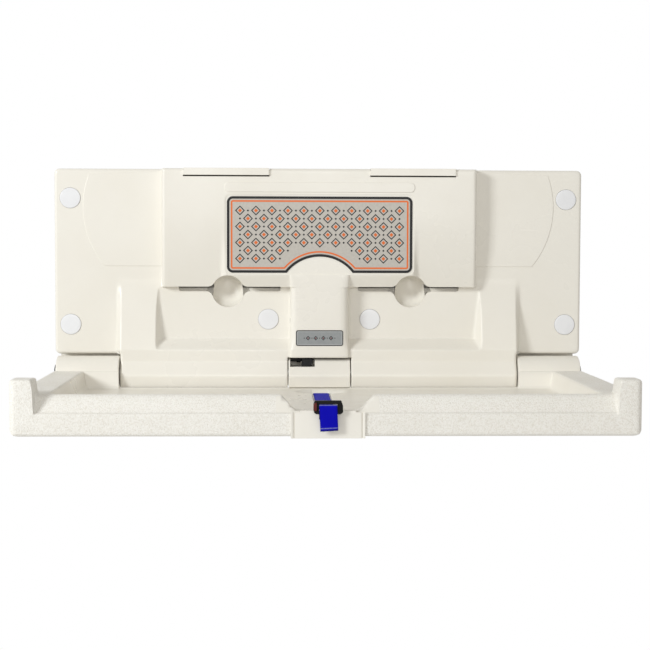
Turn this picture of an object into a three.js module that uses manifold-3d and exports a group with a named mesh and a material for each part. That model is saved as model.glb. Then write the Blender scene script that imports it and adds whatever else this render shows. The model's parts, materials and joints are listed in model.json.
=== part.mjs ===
// Wall-hung baby changing station with a fold-down tray, shown with the tray lowered.
// Millimetres, +Z up. The wall is the plane y = 0 and the front faces -Y.
// The hinge axis runs along X at z = 0, hingeDepth in front of the wall.
import * as THREE from 'three';
import { mergeVertices } from 'three/addons/utils/BufferGeometryUtils.js';
import { ConvexGeometry } from 'three/addons/geometries/ConvexGeometry.js';
import Module from 'manifold-3d';

const wasm = await Module();
wasm.setup();

// Overall
const stationWidth = 902;
const hingeDepth = 46;
const fitGap = 0.3;
const runGap = 1.5;
const past = 1;
const roundSteps = 28;
const pinSteps = 16;
const arcSteps = 6;

// Wall panel
const panelTop = 347;
const panelWall = 4;
const panelCorner = 9;
const flangeBottom = 35;
const flangeDepth = 38;
const boxHalf = 267;
const boxDepth = 66;
const boxLip = 181;
const boxFoot = 44;
const wedgeTop = 156;
const wedgeDraft = 8;
const flatDepth = 62;
const flatTop = 37;
const pocketFloor = 40;
const pocketFoot = 61;
const pocketHalf = 264;
const pocketDraft = 18;

// Centre column over the gas spring
const columnHalf = 50;
const columnDepth = 68.5;
const columnFoot = 26.5;
const columnShoulder = 165;
const columnTop = 195;

// Liner bins, slots and scoops
const binInner = 64;
const binOuter = 242;
const binBack = 12;
const binTop = 338;
const slotInner = 66;
const slotOuter = 240;
const slotFoot = 141;
const slotHeight = 6;
const slotBack = 16;
const scoopAt = 154;
const scoopRadius = 25;
const scoopDepth = 20;

// Liner lids
const lidInner = 86;
const lidOuter = 230;
const lidThick = 3;
const lidProud = 0.5;
const lidLip = 12;
const lidPivotDepth = 13;
const lidBead = 3;
const lidPinRadius = 1.5;
const lidPinReach = 7;
const lidSeat = 6;

// Plates set into the panel
const plateThick = 0.7;
const labelHalf = 157;
const labelFoot = 171;
const labelTop = 300;
const labelCorner = 10;
const labelMargin = 3.5;
const archHalf = 56;
const archRise = 27.5;
const badgeHalf = 40;
const badgeFoot = 47;
const badgeTop = 73.5;
const badgeCorner = 3;

// Wall screws: caps, bosses and the steel plate behind
const capRadius = 17.5;
const capThick = 3.2;
const capSeat = 2;
const capSpigot = 4.2;
const capSpigotLength = 6;
const bossRadius = 12;
const screwBore = 4.5;
const screwMargin = 27;
const screwOutX = stationWidth / 2 - screwMargin;
const screwTopMargin = 50;
const screwHighZ = panelTop - screwTopMargin;
const screwLowZ = 82;
const screwInX = 87;
const screwInZ = 91;
const backplateThick = 2;

// Hinge
const rodRadius = 8;
const sleeveWall = 2.2;
const barrelRadius = 25;
const knuckleInset = 5;
const knuckleLength = 106.5;
const knuckleEnd = stationWidth / 2 - knuckleInset;
const barrelHalf = knuckleEnd - knuckleLength - runGap;
const barrelInner = 54;
const centreKnuckle = 27;
const sideKnuckle = 30;
const rodCapRadius = 12;
const rodCapThick = 4;

// Tray
const trayReach = 430;
const trayRear = 28;
const railRear = 16;
const trayBottom = -54;
const trayCorner = 13;
const rimTop = 4.5;
const ledgeZ = -19;
const rimSlope = 20;
const rimFlat = 10;
const rimBack = trayReach - rimSlope;
const bedFront = rimBack - rimFlat;
const bedFloor = -25;
const railWidth = 53;
const bedHalf = stationWidth / 2 - railWidth;
const bedDraft = 6;
const trayWall = 4;
const baseThick = 3;
const postWidth = 32;
const postDepth = 42;
const postTop = 27;
const postCorner = 4;
const notchTopHalf = 72;
const notchFootHalf = 41;
const channelHalf = 15;
const channelDepth = 2;
const dipHalf = 46;
const dipDepth = 12;
const dipStart = 44;
const dipEnd = 112;

// Front grip plate
const gripHalf = 53;
const gripThick = 2;

// Gas spring and its crank
const strutX = -35;
const strutTopDepth = 34;
const strutTopZ = 185;
const crankRadius = 20;
const crankOpenAngle = 95;
const foldAngle = 90;
const crankPinRadius = 3;
const eyeWall = 1.6;
const eyeThick = 7;
const strutBodyRadius = 9;
const strutBodyTop = 12;
const strutBodyLength = 92;
const strutRodRadius = 4;
const strutRodInside = 60;
const glandLength = 6;
const strutPinRadius = 3;
const topEyeRadius = 7;
const bracketCheek = 3;
const crankNotch = 11;
const crankNotchLeft = -50;
const crankNotchRight = -8;
const crankBlockLeft = -29.5;
const crankBlockRight = -11;
const crankBlockTop = 25;
const crankBlockRear = -13;
const crankBlockFront = 14;

// Strap and buckle
const strapHalf = 12.7;
const strapThick = 1.6;
const strapTail = -45.6;
const anchorAt = 62;
const anchorLength = 20;
const anchorHalf = 20;
const anchorThick = 2;
const anchorScrewX = 16.4;
const anchorScrewRadius = 2.2;
const buckleHalf = 21;
const buckleTop = -1.3;
const buckleFoot = -21;
const buckleThick = 6;
const buckleBar = 5.6;
const buckleSill = 4;
const tabThick = 1.2;
const buttonReach = 5;
const buttonTravel = 2;

// Finishes
const finish = (color, roughness, metalness) =>
  new THREE.MeshStandardMaterial({ color, roughness, metalness });
const creamPlastic = () => finish('#e9e1cd', 0.55, 0);
const whitePlastic = () => finish('#f4f4f1', 0.45, 0);
const blackPlastic = () => finish('#121214', 0.4, 0);
const zincSteel = () => finish('#a3a7aa', 0.35, 1);
const blackSteel = () => finish('#17181a', 0.45, 0.6);
const chromeSteel = () => finish('#c9ccce', 0.15, 1);
const blueWebbing = () => finish('#0a0aa2', 0.8, 0);
const redPlastic = () => finish('#5a1614', 0.4, 0);
const printedPlate = () => finish('#7d7d80', 0.5, 0);

// Solids. Forward distances run from the wall, or from the hinge axis on the tray, towards -Y.
function solidOf(geometry) {
  geometry.deleteAttribute('normal');
  geometry.deleteAttribute('uv');
  const merged = mergeVertices(geometry, 1e-4);
  const corners = merged.index.array;
  const faces = [];
  for (let i = 0; i < corners.length; i += 3) {
    const [a, b, c] = [corners[i], corners[i + 1], corners[i + 2]];
    if (a !== b && b !== c && c !== a) faces.push(a, b, c);
  }
  return new wasm.Manifold(new wasm.Mesh({
    numProp: 3,
    vertProperties: new Float32Array(merged.attributes.position.array),
    triVerts: new Uint32Array(faces),
  }));
}

function joined(...solids) {
  return solids.reduce((sum, next) => sum.add(next));
}

function cutFrom(body, ...tools) {
  return tools.reduce((rest, tool) => rest.subtract(tool), body);
}

function outlineOf(points) {
  return new THREE.Shape(points.map(([a, b]) => new THREE.Vector2(a, b)));
}

function roundedRect(left, foot, right, top, radius) {
  const shape = new THREE.Shape();
  shape.moveTo(left + radius, foot);
  shape.lineTo(right - radius, foot);
  shape.absarc(right - radius, foot + radius, radius, -Math.PI / 2, 0);
  shape.lineTo(right, top - radius);
  shape.absarc(right - radius, top - radius, radius, 0, Math.PI / 2);
  shape.lineTo(left + radius, top);
  shape.absarc(left + radius, top - radius, radius, Math.PI / 2, Math.PI);
  shape.lineTo(left, foot + radius);
  shape.absarc(left + radius, foot + radius, radius, Math.PI, Math.PI * 1.5);
  return shape;
}

// An outline in x and z, solid between two forward distances.
function slab(shape, near, far) {
  const geometry = new THREE.ExtrudeGeometry(shape,
    { depth: far - near, bevelEnabled: false, curveSegments: arcSteps });
  const frame = new THREE.Matrix4().makeBasis(
    new THREE.Vector3(1, 0, 0), new THREE.Vector3(0, 0, 1), new THREE.Vector3(0, -1, 0));
  return solidOf(geometry.applyMatrix4(frame.setPosition(0, -near, 0)));
}

// A profile of [forward, z] points, solid from one x to another.
function sweepAcross(profile, left, right) {
  const geometry = new THREE.ExtrudeGeometry(outlineOf(profile),
    { depth: right - left, bevelEnabled: false });
  const frame = new THREE.Matrix4().makeBasis(
    new THREE.Vector3(0, -1, 0), new THREE.Vector3(0, 0, 1), new THREE.Vector3(-1, 0, 0));
  return solidOf(geometry.applyMatrix4(frame.setPosition(right, 0, 0)));
}

function block(left, right, near, far, foot, top) {
  return sweepAcross([[near, foot], [far, foot], [far, top], [near, top]], left, right);
}

// The convex body on corner points [x, forward, z].
function hull(points) {
  return solidOf(new ConvexGeometry(points.map(([x, forward, z]) => new THREE.Vector3(x, -forward, z))));
}

function rodAcross(radius, left, right, forward, z, steps = roundSteps) {
  const geometry = new THREE.CylinderGeometry(radius, radius, right - left, steps).rotateZ(Math.PI / 2);
  return solidOf(geometry.translate((left + right) / 2, -forward, z));
}

function rodForward(radius, near, far, x, z, steps = roundSteps) {
  const geometry = new THREE.CylinderGeometry(radius, radius, far - near, steps);
  return solidOf(geometry.translate(x, -(near + far) / 2, z));
}

function rodUp(radius, foot, top, x, forward, steps = roundSteps) {
  const geometry = new THREE.CylinderGeometry(radius, radius, top - foot, steps).rotateX(Math.PI / 2);
  return solidOf(geometry.translate(x, -forward, (foot + top) / 2));
}

// A turned body on the forward axis, from a profile of [radius, forward] points.
function turnedForward(profile, x, forward, z) {
  const points = profile.map(([radius, along]) => new THREE.Vector2(radius, along));
  const geometry = new THREE.LatheGeometry(points, roundSteps).rotateX(Math.PI);
  return solidOf(geometry.translate(x, -forward, z));
}

function mirrored(make) {
  return joined(make(-1), make(1));
}

// A span on one side of the middle, from its inner to its outer distance.
function sideSpan(side, inner, outer) {
  return side < 0 ? [-outer, -inner] : [inner, outer];
}

function piece(name, solid, material) {
  const { vertProperties, triVerts } = solid.getMesh();
  const geometry = new THREE.BufferGeometry();
  geometry.setAttribute('position', new THREE.BufferAttribute(new Float32Array(vertProperties), 3));
  geometry.setIndex(new THREE.BufferAttribute(new Uint32Array(triVerts), 1));
  geometry.computeVertexNormals();
  const mesh = new THREE.Mesh(geometry, material);
  mesh.name = name;
  return mesh;
}

// Shared places
const halfWidth = stationWidth / 2;
const slotTop = slotFoot + slotHeight;
const sleeveInner = rodRadius + fitGap;
const sleeveOuter = sleeveInner + sleeveWall;
const sleeveBore = sleeveOuter + fitGap;
const knuckleStart = barrelHalf + runGap;
const centreHalf = barrelInner - runGap;
const knuckleSweep = Math.hypot(Math.max(crankBlockFront, -crankBlockRear), crankBlockTop) + runGap;
const screwPlaces = [
  { name: 'upper_left', x: -screwOutX, z: screwHighZ, face: flangeDepth },
  { name: 'upper_right', x: screwOutX, z: screwHighZ, face: flangeDepth },
  { name: 'lower_left', x: -screwOutX, z: screwLowZ, face: flangeDepth },
  { name: 'lower_right', x: screwOutX, z: screwLowZ, face: flangeDepth },
  { name: 'inner_left', x: -screwInX, z: screwInZ, face: pocketFloor },
  { name: 'inner_right', x: screwInX, z: screwInZ, face: pocketFloor },
];

// Panel forms, drawn in by an inset for the inside of the moulding
function columnShape(inset) {
  const half = columnHalf - inset;
  const top = columnTop - inset;
  const rise = columnTop - columnShoulder;
  const radius = (half * half + rise * rise) / (2 * rise);
  const swing = Math.asin(half / radius);
  const shape = new THREE.Shape();
  shape.moveTo(-half, columnFoot - inset);
  shape.lineTo(half, columnFoot - inset);
  shape.lineTo(half, columnShoulder - inset);
  shape.absarc(0, top - radius, radius, Math.PI / 2 - swing, Math.PI / 2 + swing);
  shape.lineTo(-half, columnFoot - inset);
  return shape;
}

function boxForm(inset, back) {
  const lip = [[boxDepth - inset, boxLip + inset / 2], [boxFoot - inset, slotTop + inset]];
  return sweepAcross([[back, panelTop - inset], [back, slotTop + inset], ...lip.reverse(),
    [boxDepth - inset, panelTop - inset]], inset - boxHalf, boxHalf - inset);
}

function labelBulge() {
  const foot = labelFoot - labelMargin - fitGap;
  return sweepAcross([[pocketFloor, boxLip + past], [pocketFloor, slotTop], [boxFoot, slotTop],
    [boxDepth, foot], [boxDepth, boxLip + past]], -labelHalf - labelMargin * 2, labelHalf + labelMargin * 2);
}

function wedgeForm(inset, back) {
  const base = barrelHalf + wedgeDraft - inset;
  const front = barrelHalf - inset;
  const foot = flangeBottom + past;
  const corners = [];
  for (const side of [-1, 1]) {
    corners.push([side * base, back, wedgeTop - inset], [side * base, back, foot]);
    corners.push([side * base, flangeDepth - inset, wedgeTop - inset], [side * base, flangeDepth - inset, foot]);
    corners.push([side * front, flatDepth - inset, flatTop], [side * front, flatDepth - inset, foot]);
  }
  return hull(corners);
}

function pocketTool(side, inset) {
  const inner = columnHalf - inset;
  const outer = pocketHalf + inset;
  const floor = pocketFloor - inset;
  const front = boxDepth + past;
  const draft = pocketDraft * (front - floor) / (boxDepth - pocketFloor);
  const slope = (pocketFoot - flatTop) / (flatDepth - pocketFloor);
  const corners = [];
  for (const [x, drafted] of [[inner, 0], [outer, draft]]) {
    corners.push([side * x, floor, pocketFoot - inset], [side * x, floor, slotTop]);
    corners.push([side * (x + drafted), front, pocketFoot - inset - slope * (front - floor)]);
    corners.push([side * (x + drafted), front, slotTop]);
  }
  return hull(corners);
}

function scoopTool(side, grow) {
  const geometry = new THREE.SphereGeometry(1, roundSteps, roundSteps / 2);
  geometry.scale(scoopRadius + grow, scoopDepth + grow, scoopRadius + grow);
  return solidOf(geometry.translate(side * scoopAt, -pocketFloor - past, slotFoot));
}

function binForm(side) {
  const [left, right] = sideSpan(side, binInner, binOuter);
  return sweepAcross([[binBack, binTop], [binBack, slotFoot], [boxFoot - panelWall, slotFoot],
    [boxFoot - panelWall, slotTop + panelWall], [boxDepth - panelWall, boxLip + panelWall / 2],
    [boxDepth - panelWall, binTop]], left, right);
}

function binWalls(side) {
  const [left, right] = sideSpan(side, binInner - panelWall, binOuter + panelWall);
  return block(left, right, binBack - panelWall, boxDepth, slotFoot - panelWall, panelTop);
}

function slotTool(side) {
  const [left, right] = sideSpan(side, slotInner, slotOuter);
  return slab(roundedRect(left, slotFoot, right, slotTop, slotHeight / 2 - 0.01), slotBack, boxDepth);
}

// The scoop's upper half opens through the box's sloping underside into the bin.
function fingerTool(side) {
  const bore = rodForward(scoopRadius, slotBack, boxDepth + past, side * scoopAt, slotFoot);
  return cutFrom(bore, block(-halfWidth, halfWidth, 0, boxDepth * 2, slotFoot - scoopRadius - past, slotFoot));
}

const lidTop = panelTop + lidProud;
const lidFloor = lidTop - lidThick - fitGap;
const lidPivotZ = lidTop - lidThick;
const lidFront = boxDepth + fitGap + lidThick;

function lidTool(side) {
  const [left, right] = sideSpan(side, lidInner - fitGap * 3, lidOuter + fitGap * 3);
  const [pinLeft, pinRight] = sideSpan(side, lidInner - lidPinReach - fitGap, lidOuter + lidPinReach + fitGap);
  const [mouthLeft, mouthRight] = sideSpan(side, lidInner + lidSeat, lidOuter - lidSeat);
  const rear = lidPivotDepth - lidBead - fitGap * 3;
  return joined(
    block(left, right, rear, boxDepth + past, lidFloor, panelTop + past),
    block(left, right, rear, lidPivotDepth + lidBead + fitGap * 3, lidPivotZ - lidBead - fitGap, lidFloor + past),
    rodAcross(lidPinRadius + fitGap, pinLeft, pinRight, lidPivotDepth, lidPivotZ, pinSteps),
    block(mouthLeft, mouthRight, lidPivotDepth + lidSeat, boxDepth - panelWall - lidSeat / 2, binTop - past,
      lidFloor + past));
}

function wallPanel() {
  const barrel = rodAcross(barrelRadius, -barrelHalf, barrelHalf, hingeDepth, 0);
  const flange = slab(roundedRect(-halfWidth, flangeBottom, halfWidth, panelTop, panelCorner), 0, flangeDepth);
  const skirt = block(-barrelHalf, barrelHalf, 0, hingeDepth, -barrelRadius, 0);
  const apron = block(-barrelHalf, barrelHalf, 0, flatDepth, 0, flangeBottom + past * 2);
  const labelSeat = slab(roundedRect(-labelHalf - labelMargin, labelFoot - labelMargin, labelHalf + labelMargin,
    labelTop + labelMargin, labelCorner), boxDepth - plateThick - fitGap, boxDepth + past);
  const badgeSeat = slab(roundedRect(-badgeHalf - fitGap, badgeFoot - fitGap, badgeHalf + fitGap,
    badgeTop + fitGap, badgeCorner), columnDepth - plateThick - fitGap, columnDepth + past);
  const column = slab(columnShape(0), 0, columnDepth);

  const pockets = mirrored((side) => pocketTool(side, 0));
  // Behind the side knuckles the panel's back runs on down as a thin lip
  const rearLips = mirrored((side) => {
    const [left, right] = sideSpan(side, barrelHalf - panelWall, knuckleEnd);
    return block(left, right, 0, panelWall, -barrelRadius, flangeBottom + past * 2);
  });
  const massing = joined(flange, wedgeForm(0, 0), apron, skirt, barrel, rearLips);
  const boxes = cutFrom(joined(boxForm(0, 0), labelBulge()), labelSeat);
  const outer = cutFrom(joined(cutFrom(massing, pockets), boxes, column), badgeSeat);

  const inset = panelWall;
  const cornerInside = Math.max(panelCorner - inset, past);
  const flangeInside = slab(roundedRect(inset - halfWidth, flangeBottom + inset, halfWidth - inset,
    panelTop - inset, cornerInside), -past, flangeDepth - inset);
  const apronInside = mirrored((side) => {
    const [left, right] = sideSpan(side, barrelInner + inset, barrelHalf - inset);
    return block(left, right, -past, flatDepth - inset, inset - barrelRadius, flangeBottom + inset + past);
  });
  const columnInside = slab(columnShape(inset), -past, columnDepth - inset);
  const hollow = cutFrom(
    joined(flangeInside, boxForm(inset, -past), wedgeForm(inset, -past), apronInside),
    mirrored((side) => pocketTool(side, inset)), mirrored((side) => binWalls(side)),
    mirrored((side) => scoopTool(side, inset)), barrel);
  const gapTool = joined(
    block(-barrelInner, barrelInner, binBack, columnDepth * 2, -barrelRadius * 2, columnFoot),
    rodAcross(knuckleSweep, -barrelInner, barrelInner, hingeDepth, 0));

  const shell = cutFrom(outer, hollow, columnInside, gapTool,
    mirrored(binForm), mirrored(slotTool), mirrored(fingerTool), mirrored((side) => scoopTool(side, 0)),
    mirrored(lidTool), rodAcross(sleeveBore, -halfWidth, halfWidth, hingeDepth, 0));
  const bosses = screwPlaces.map(({ x, z, face }) =>
    rodForward(bossRadius, backplateThick + fitGap, face - panelWall / 2, x, z, pinSteps));
  const bores = screwPlaces.map(({ x, z, face }) => joined(
    rodForward(screwBore, -past, face + past, x, z, pinSteps),
    rodForward(capRadius + fitGap, face - capSeat, face + past, x, z)));
  return piece('wall_panel', cutFrom(joined(shell, ...bosses), ...bores), creamPlastic());
}

function backplate() {
  const edge = panelWall + fitGap * 2;
  const wide = halfWidth - edge;
  const narrow = barrelHalf - edge;
  const shoulder = flangeBottom + edge * 2;
  const foot = edge - barrelRadius;
  const corner = barrelInner + edge;
  const plate = slab(outlineOf([[-narrow, foot], [-corner, foot], [-corner, shoulder], [corner, shoulder],
    [corner, foot], [narrow, foot], [narrow, shoulder], [wide, shoulder], [wide, panelTop - edge * 2],
    [-wide, panelTop - edge * 2], [-wide, shoulder], [-narrow, shoulder]]), 0, backplateThick);
  const holes = screwPlaces.map(({ x, z }) => rodForward(screwBore, -past, backplateThick + past, x, z, pinSteps));
  return piece('backplate', cutFrom(plate, ...holes), zincSteel());
}

function screwCap({ name, x, z, face }) {
  const seat = fitGap - capSeat;
  const rim = capThick / 2 + seat;
  const profile = [[0, seat - capSpigotLength], [capSpigot, seat - capSpigotLength], [capSpigot, seat],
    [capRadius, seat], [capRadius, rim], [capRadius * 0.9, rim + capThick / 3], [0, seat + capThick]];
  return piece(`screw_cap_${name}`, turnedForward(profile, x, face, z), whitePlastic());
}

function linerLid(side) {
  const [left, right] = sideSpan(side, lidInner, lidOuter);
  const profile = [[lidPivotDepth, lidPivotZ], [lidFront - lidThick, lidPivotZ],
    [lidFront - lidThick, lidTop - lidLip], [lidFront, lidTop - lidLip], [lidFront, lidTop], [lidPivotDepth, lidTop]];
  const bead = rodAcross(lidBead, left, right, lidPivotDepth, lidPivotZ, pinSteps);
  const bore = rodAcross(lidPinRadius + fitGap, left - past, right + past, lidPivotDepth, lidPivotZ, pinSteps);
  const sideName = side < 0 ? 'left' : 'right';
  return piece(`liner_lid_${sideName}`, cutFrom(joined(sweepAcross(profile, left, right), bead), bore),
    creamPlastic());
}

function lidPin(side) {
  const [left, right] = sideSpan(side, lidInner - lidPinReach, lidOuter + lidPinReach);
  const sideName = side < 0 ? 'left' : 'right';
  return piece(`lid_pin_${sideName}`, rodAcross(lidPinRadius, left, right, lidPivotDepth, lidPivotZ, pinSteps),
    zincSteel());
}

function labelPlate() {
  const near = boxDepth - plateThick;
  const archRadius = (archHalf * archHalf + archRise * archRise) / (2 * archRise);
  const plate = slab(roundedRect(-labelHalf, labelFoot, labelHalf, labelTop, labelCorner - labelMargin),
    near, boxDepth);
  const arch = rodForward(archRadius, near - past, boxDepth + past, 0, labelFoot + archRise - archRadius);
  return piece('label_plate', cutFrom(plate, arch), printedPlate());
}

function badgePlate() {
  return piece('badge_plate', slab(roundedRect(-badgeHalf, badgeFoot, badgeHalf, badgeTop, badgeCorner),
    columnDepth - plateThick, columnDepth), printedPlate());
}

function sleeve(name, left, right, forward) {
  return piece(name, cutFrom(rodAcross(sleeveOuter, left, right, forward, 0),
    rodAcross(sleeveInner, left - past, right + past, forward, 0)), zincSteel());
}

function hingeRod() {
  const reach = knuckleEnd - fitGap;
  return piece('hinge_rod', rodAcross(rodRadius, -reach, reach, hingeDepth, 0), zincSteel());
}

function rodCap(side) {
  const [left, right] = sideSpan(side, knuckleEnd + fitGap, knuckleEnd + fitGap + rodCapThick);
  const sideName = side < 0 ? 'left' : 'right';
  return piece(`rod_cap_${sideName}`, rodAcross(rodCapRadius, left, right, hingeDepth, 0), blackPlastic());
}

// Gas spring: a point of the tray turns a quarter circle, and the spring's lower pin follows its chord
const turn = (degrees) => (degrees * Math.PI) / 180;
const crankPinAt = (degrees) => [crankRadius * Math.cos(turn(degrees)), crankRadius * Math.sin(turn(degrees))];
const crankSagitta = crankRadius * (1 - Math.cos(turn(foldAngle / 2)));
const crankMidAngle = crankOpenAngle + foldAngle / 2;
const [crankPinForward, crankPinZ] = crankPinAt(crankOpenAngle);
const eyeForward = hingeDepth + crankPinForward + (crankSagitta / 2) * Math.cos(turn(crankMidAngle));
const eyeZ = crankPinZ + (crankSagitta / 2) * Math.sin(turn(crankMidAngle));
const strutLength = Math.hypot(eyeForward - strutTopDepth, strutTopZ - eyeZ);
const strutLean = Math.atan2(eyeForward - strutTopDepth, strutTopZ - eyeZ);
const eyeBore = crankPinRadius + fitGap;

function strutCylinder() {
  const mouth = -strutBodyTop - strutBodyLength;
  const halfEye = eyeThick / 2;
  const body = joined(
    rodUp(strutBodyRadius, mouth, -strutBodyTop, 0, 0),
    rodAcross(topEyeRadius, -halfEye, halfEye, 0, 0),
    block(-halfEye, halfEye, -topEyeRadius + past, topEyeRadius - past, -strutBodyTop - past, 0));
  const bore = rodUp(strutRodRadius + fitGap, mouth - past, -strutBodyTop - topEyeRadius, 0, 0);
  const glandSeat = rodUp(strutBodyRadius - panelWall / 2 + fitGap, mouth - past, mouth + glandLength, 0, 0);
  const pinBore = rodAcross(strutPinRadius + fitGap, -halfEye - past, halfEye + past, 0, 0, pinSteps);
  return piece('gas_spring_cylinder', cutFrom(body, bore, glandSeat, pinBore), blackSteel());
}

function strutGland() {
  const mouth = -strutBodyTop - strutBodyLength;
  const ring = cutFrom(rodUp(strutBodyRadius - panelWall / 2, mouth, mouth + glandLength - fitGap, 0, 0),
    rodUp(strutRodRadius + fitGap, mouth - past, mouth + glandLength, 0, 0));
  return piece('gas_spring_gland', ring, zincSteel());
}

function strutRod() {
  const halfEye = eyeThick / 2;
  const outer = eyeBore + eyeWall;
  const top = strutRodInside - strutBodyTop - strutBodyLength;
  const eye = rodAcross(outer, -halfEye, halfEye, 0, -strutLength);
  const shank = rodUp(strutRodRadius, -strutLength + eyeBore + eyeWall / 2, top, 0, 0);
  const bore = rodAcross(eyeBore, -halfEye - past, halfEye + past, 0, -strutLength);
  return piece('gas_spring_rod', joined(cutFrom(eye, bore), shank), chromeSteel());
}

function crankPin() {
  return piece('crank_pin', rodAcross(crankPinRadius, crankNotchLeft + past - strutX, crankBlockRight - strutX,
    0, -strutLength, pinSteps), blackSteel());
}

function strutBracket() {
  const inner = eyeThick / 2 + fitGap;
  const outer = inner + bracketCheek;
  const near = backplateThick + fitGap;
  const far = strutTopDepth + topEyeRadius;
  const tall = topEyeRadius + past;
  const body = block(strutX - outer, strutX + outer, near, far, strutTopZ - tall, strutTopZ + tall);
  const gap = block(strutX - inner, strutX + inner, near + bracketCheek, far + past, strutTopZ - tall - past,
    strutTopZ + tall + past);
  const bore = rodAcross(strutPinRadius + fitGap, strutX - outer - past, strutX + outer + past, strutTopDepth,
    strutTopZ, pinSteps);
  return piece('spring_bracket', cutFrom(body, gap, bore), zincSteel());
}

function strutPin() {
  const reach = eyeThick / 2 + fitGap + bracketCheek;
  return piece('spring_pin', rodAcross(strutPinRadius, strutX - reach, strutX + reach, strutTopDepth, strutTopZ,
    pinSteps), zincSteel());
}

// Tray forms, drawn from the hinge axis
function notchTool() {
  const shape = new THREE.Shape();
  const shoulder = (notchTopHalf + notchFootHalf) / 2;
  shape.moveTo(-notchTopHalf, rimTop + past);
  shape.lineTo(-notchTopHalf, rimTop);
  shape.quadraticCurveTo(-shoulder, rimTop, -shoulder, (rimTop + ledgeZ) / 2);
  shape.quadraticCurveTo(-shoulder, ledgeZ, -notchFootHalf, ledgeZ);
  shape.lineTo(notchFootHalf, ledgeZ);
  shape.quadraticCurveTo(shoulder, ledgeZ, shoulder, (rimTop + ledgeZ) / 2);
  shape.quadraticCurveTo(shoulder, rimTop, notchTopHalf, rimTop);
  shape.lineTo(notchTopHalf, rimTop + past);
  return slab(shape, bedFront - bedDraft * 2, trayReach + past);
}

function bedTool() {
  const corners = [];
  for (const side of [-1, 1]) {
    for (const forward of [sideKnuckle + runGap, bedFront]) {
      const inFloor = forward === bedFront ? -bedDraft : 0;
      corners.push([side * bedHalf, forward, rimTop + past]);
      corners.push([side * (bedHalf - bedDraft), forward + inFloor, bedFloor]);
    }
  }
  const openRear = block(-barrelHalf, barrelHalf, -past, sideKnuckle + runGap * 2, bedFloor, rimTop + past);
  return joined(hull(corners), openRear);
}

function dipTool() {
  const corners = [];
  for (const side of [-1, 1]) {
    corners.push([side * dipHalf, dipStart, bedFloor + past / 2], [side * dipHalf, dipEnd, bedFloor + past / 2]);
    corners.push([side * channelHalf * 1.4, dipStart + dipDepth / 2, bedFloor - dipDepth]);
    corners.push([side * channelHalf * 1.4, dipEnd - dipDepth * 2, bedFloor - dipDepth]);
  }
  return hull(corners);
}

function sideKnuckleForm(side) {
  const [left, right] = sideSpan(side, knuckleStart, knuckleEnd);
  const [railLeft, railRight] = sideSpan(side, knuckleStart, halfWidth);
  const heel = slab(roundedRect(railLeft, trayBottom, railRight, rimTop, trayCorner / 2), railRear,
    sideKnuckle + runGap);
  return joined(rodAcross(sideKnuckle, left, right, 0, 0), heel);
}

function centreKnuckleForm() {
  const web = block(-centreHalf, centreHalf, 0, trayRear + trayWall * 2, trayBottom, bedFloor);
  const round = rodAcross(centreKnuckle, -centreHalf, centreHalf, 0, 0);
  const notch = block(crankNotchLeft, crankNotchRight, -centreKnuckle * 2, centreKnuckle * 2, crankNotch,
    centreKnuckle * 2);
  return joined(cutFrom(round, notch), web);
}

const baseEdge = trayCorner + 2;
const baseTop = trayBottom + baseThick;

function trayHollow() {
  const half = halfWidth - baseEdge - trayWall;
  const dipWalls = block(-dipHalf - trayWall, dipHalf + trayWall, dipStart - trayWall, dipEnd + trayWall,
    bedFloor - dipDepth - trayWall, bedFloor);
  const bay = cutFrom(block(-half, half, trayRear + trayWall * 3, rimBack, baseTop,
    bedFloor - channelDepth - trayWall), dipWalls);
  const mouth = block(baseEdge - halfWidth - fitGap, halfWidth - baseEdge + fitGap, trayRear + trayWall * 2 - fitGap,
    rimBack + trayWall + fitGap, trayBottom - past, baseTop + fitGap);
  const rails = mirrored((side) => {
    const [left, right] = sideSpan(side, bedHalf + trayWall, halfWidth - trayWall);
    return block(left, right, trayRear + trayWall * 3, trayReach - postDepth - trayWall,
      bedFloor - channelDepth - trayWall * 2, rimTop - trayWall);
  });
  return joined(bay, mouth, rails);
}

function trayShell() {
  const body = slab(roundedRect(-halfWidth, trayBottom, halfWidth, rimTop, trayCorner / 2), trayRear, trayReach);
  const lowerCorners = slab(roundedRect(-halfWidth, trayBottom, halfWidth, postTop * 2, trayCorner), 0,
    trayReach + past);
  const slope = sweepAcross([[rimBack, rimTop], [trayReach, ledgeZ], [trayReach + past * 2, ledgeZ],
    [trayReach + past * 2, rimTop + past], [rimBack, rimTop + past]], -halfWidth - past, halfWidth + past);
  const posts = mirrored((side) => {
    const [left, right] = sideSpan(side, halfWidth - postWidth, halfWidth);
    return slab(roundedRect(left, trayBottom + trayCorner, right, postTop, postCorner),
      trayReach - postDepth, trayReach);
  });
  const channel = block(-channelHalf, channelHalf, dipStart, bedFront - bedDraft, bedFloor - channelDepth,
    bedFloor + past);
  const rimmed = cutFrom(body, slope, notchTool(), bedTool(), channel, dipTool());
  const knuckles = joined(mirrored(sideKnuckleForm), centreKnuckleForm());
  const whole = joined(rimmed, posts, knuckles).intersect(
    joined(lowerCorners, rodAcross(sideKnuckle, -halfWidth, halfWidth, 0, 0)));
  const barrelClear = mirrored((side) => {
    const [left, right] = sideSpan(side, centreHalf, knuckleStart);
    return block(left, right, -sideKnuckle * 2, trayRear, trayBottom - past, sideKnuckle * 2);
  });
  const bore = rodAcross(sleeveBore, -halfWidth - past, halfWidth + past, 0, 0);
  return piece('tray_shell', cutFrom(whole, trayHollow(), barrelClear, bore, ...anchorBores()), creamPlastic());
}

function trayBase() {
  return piece('tray_base', block(baseEdge - halfWidth, halfWidth - baseEdge, trayRear + trayWall * 2,
    rimBack + trayWall, trayBottom, baseTop), creamPlastic());
}

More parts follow.
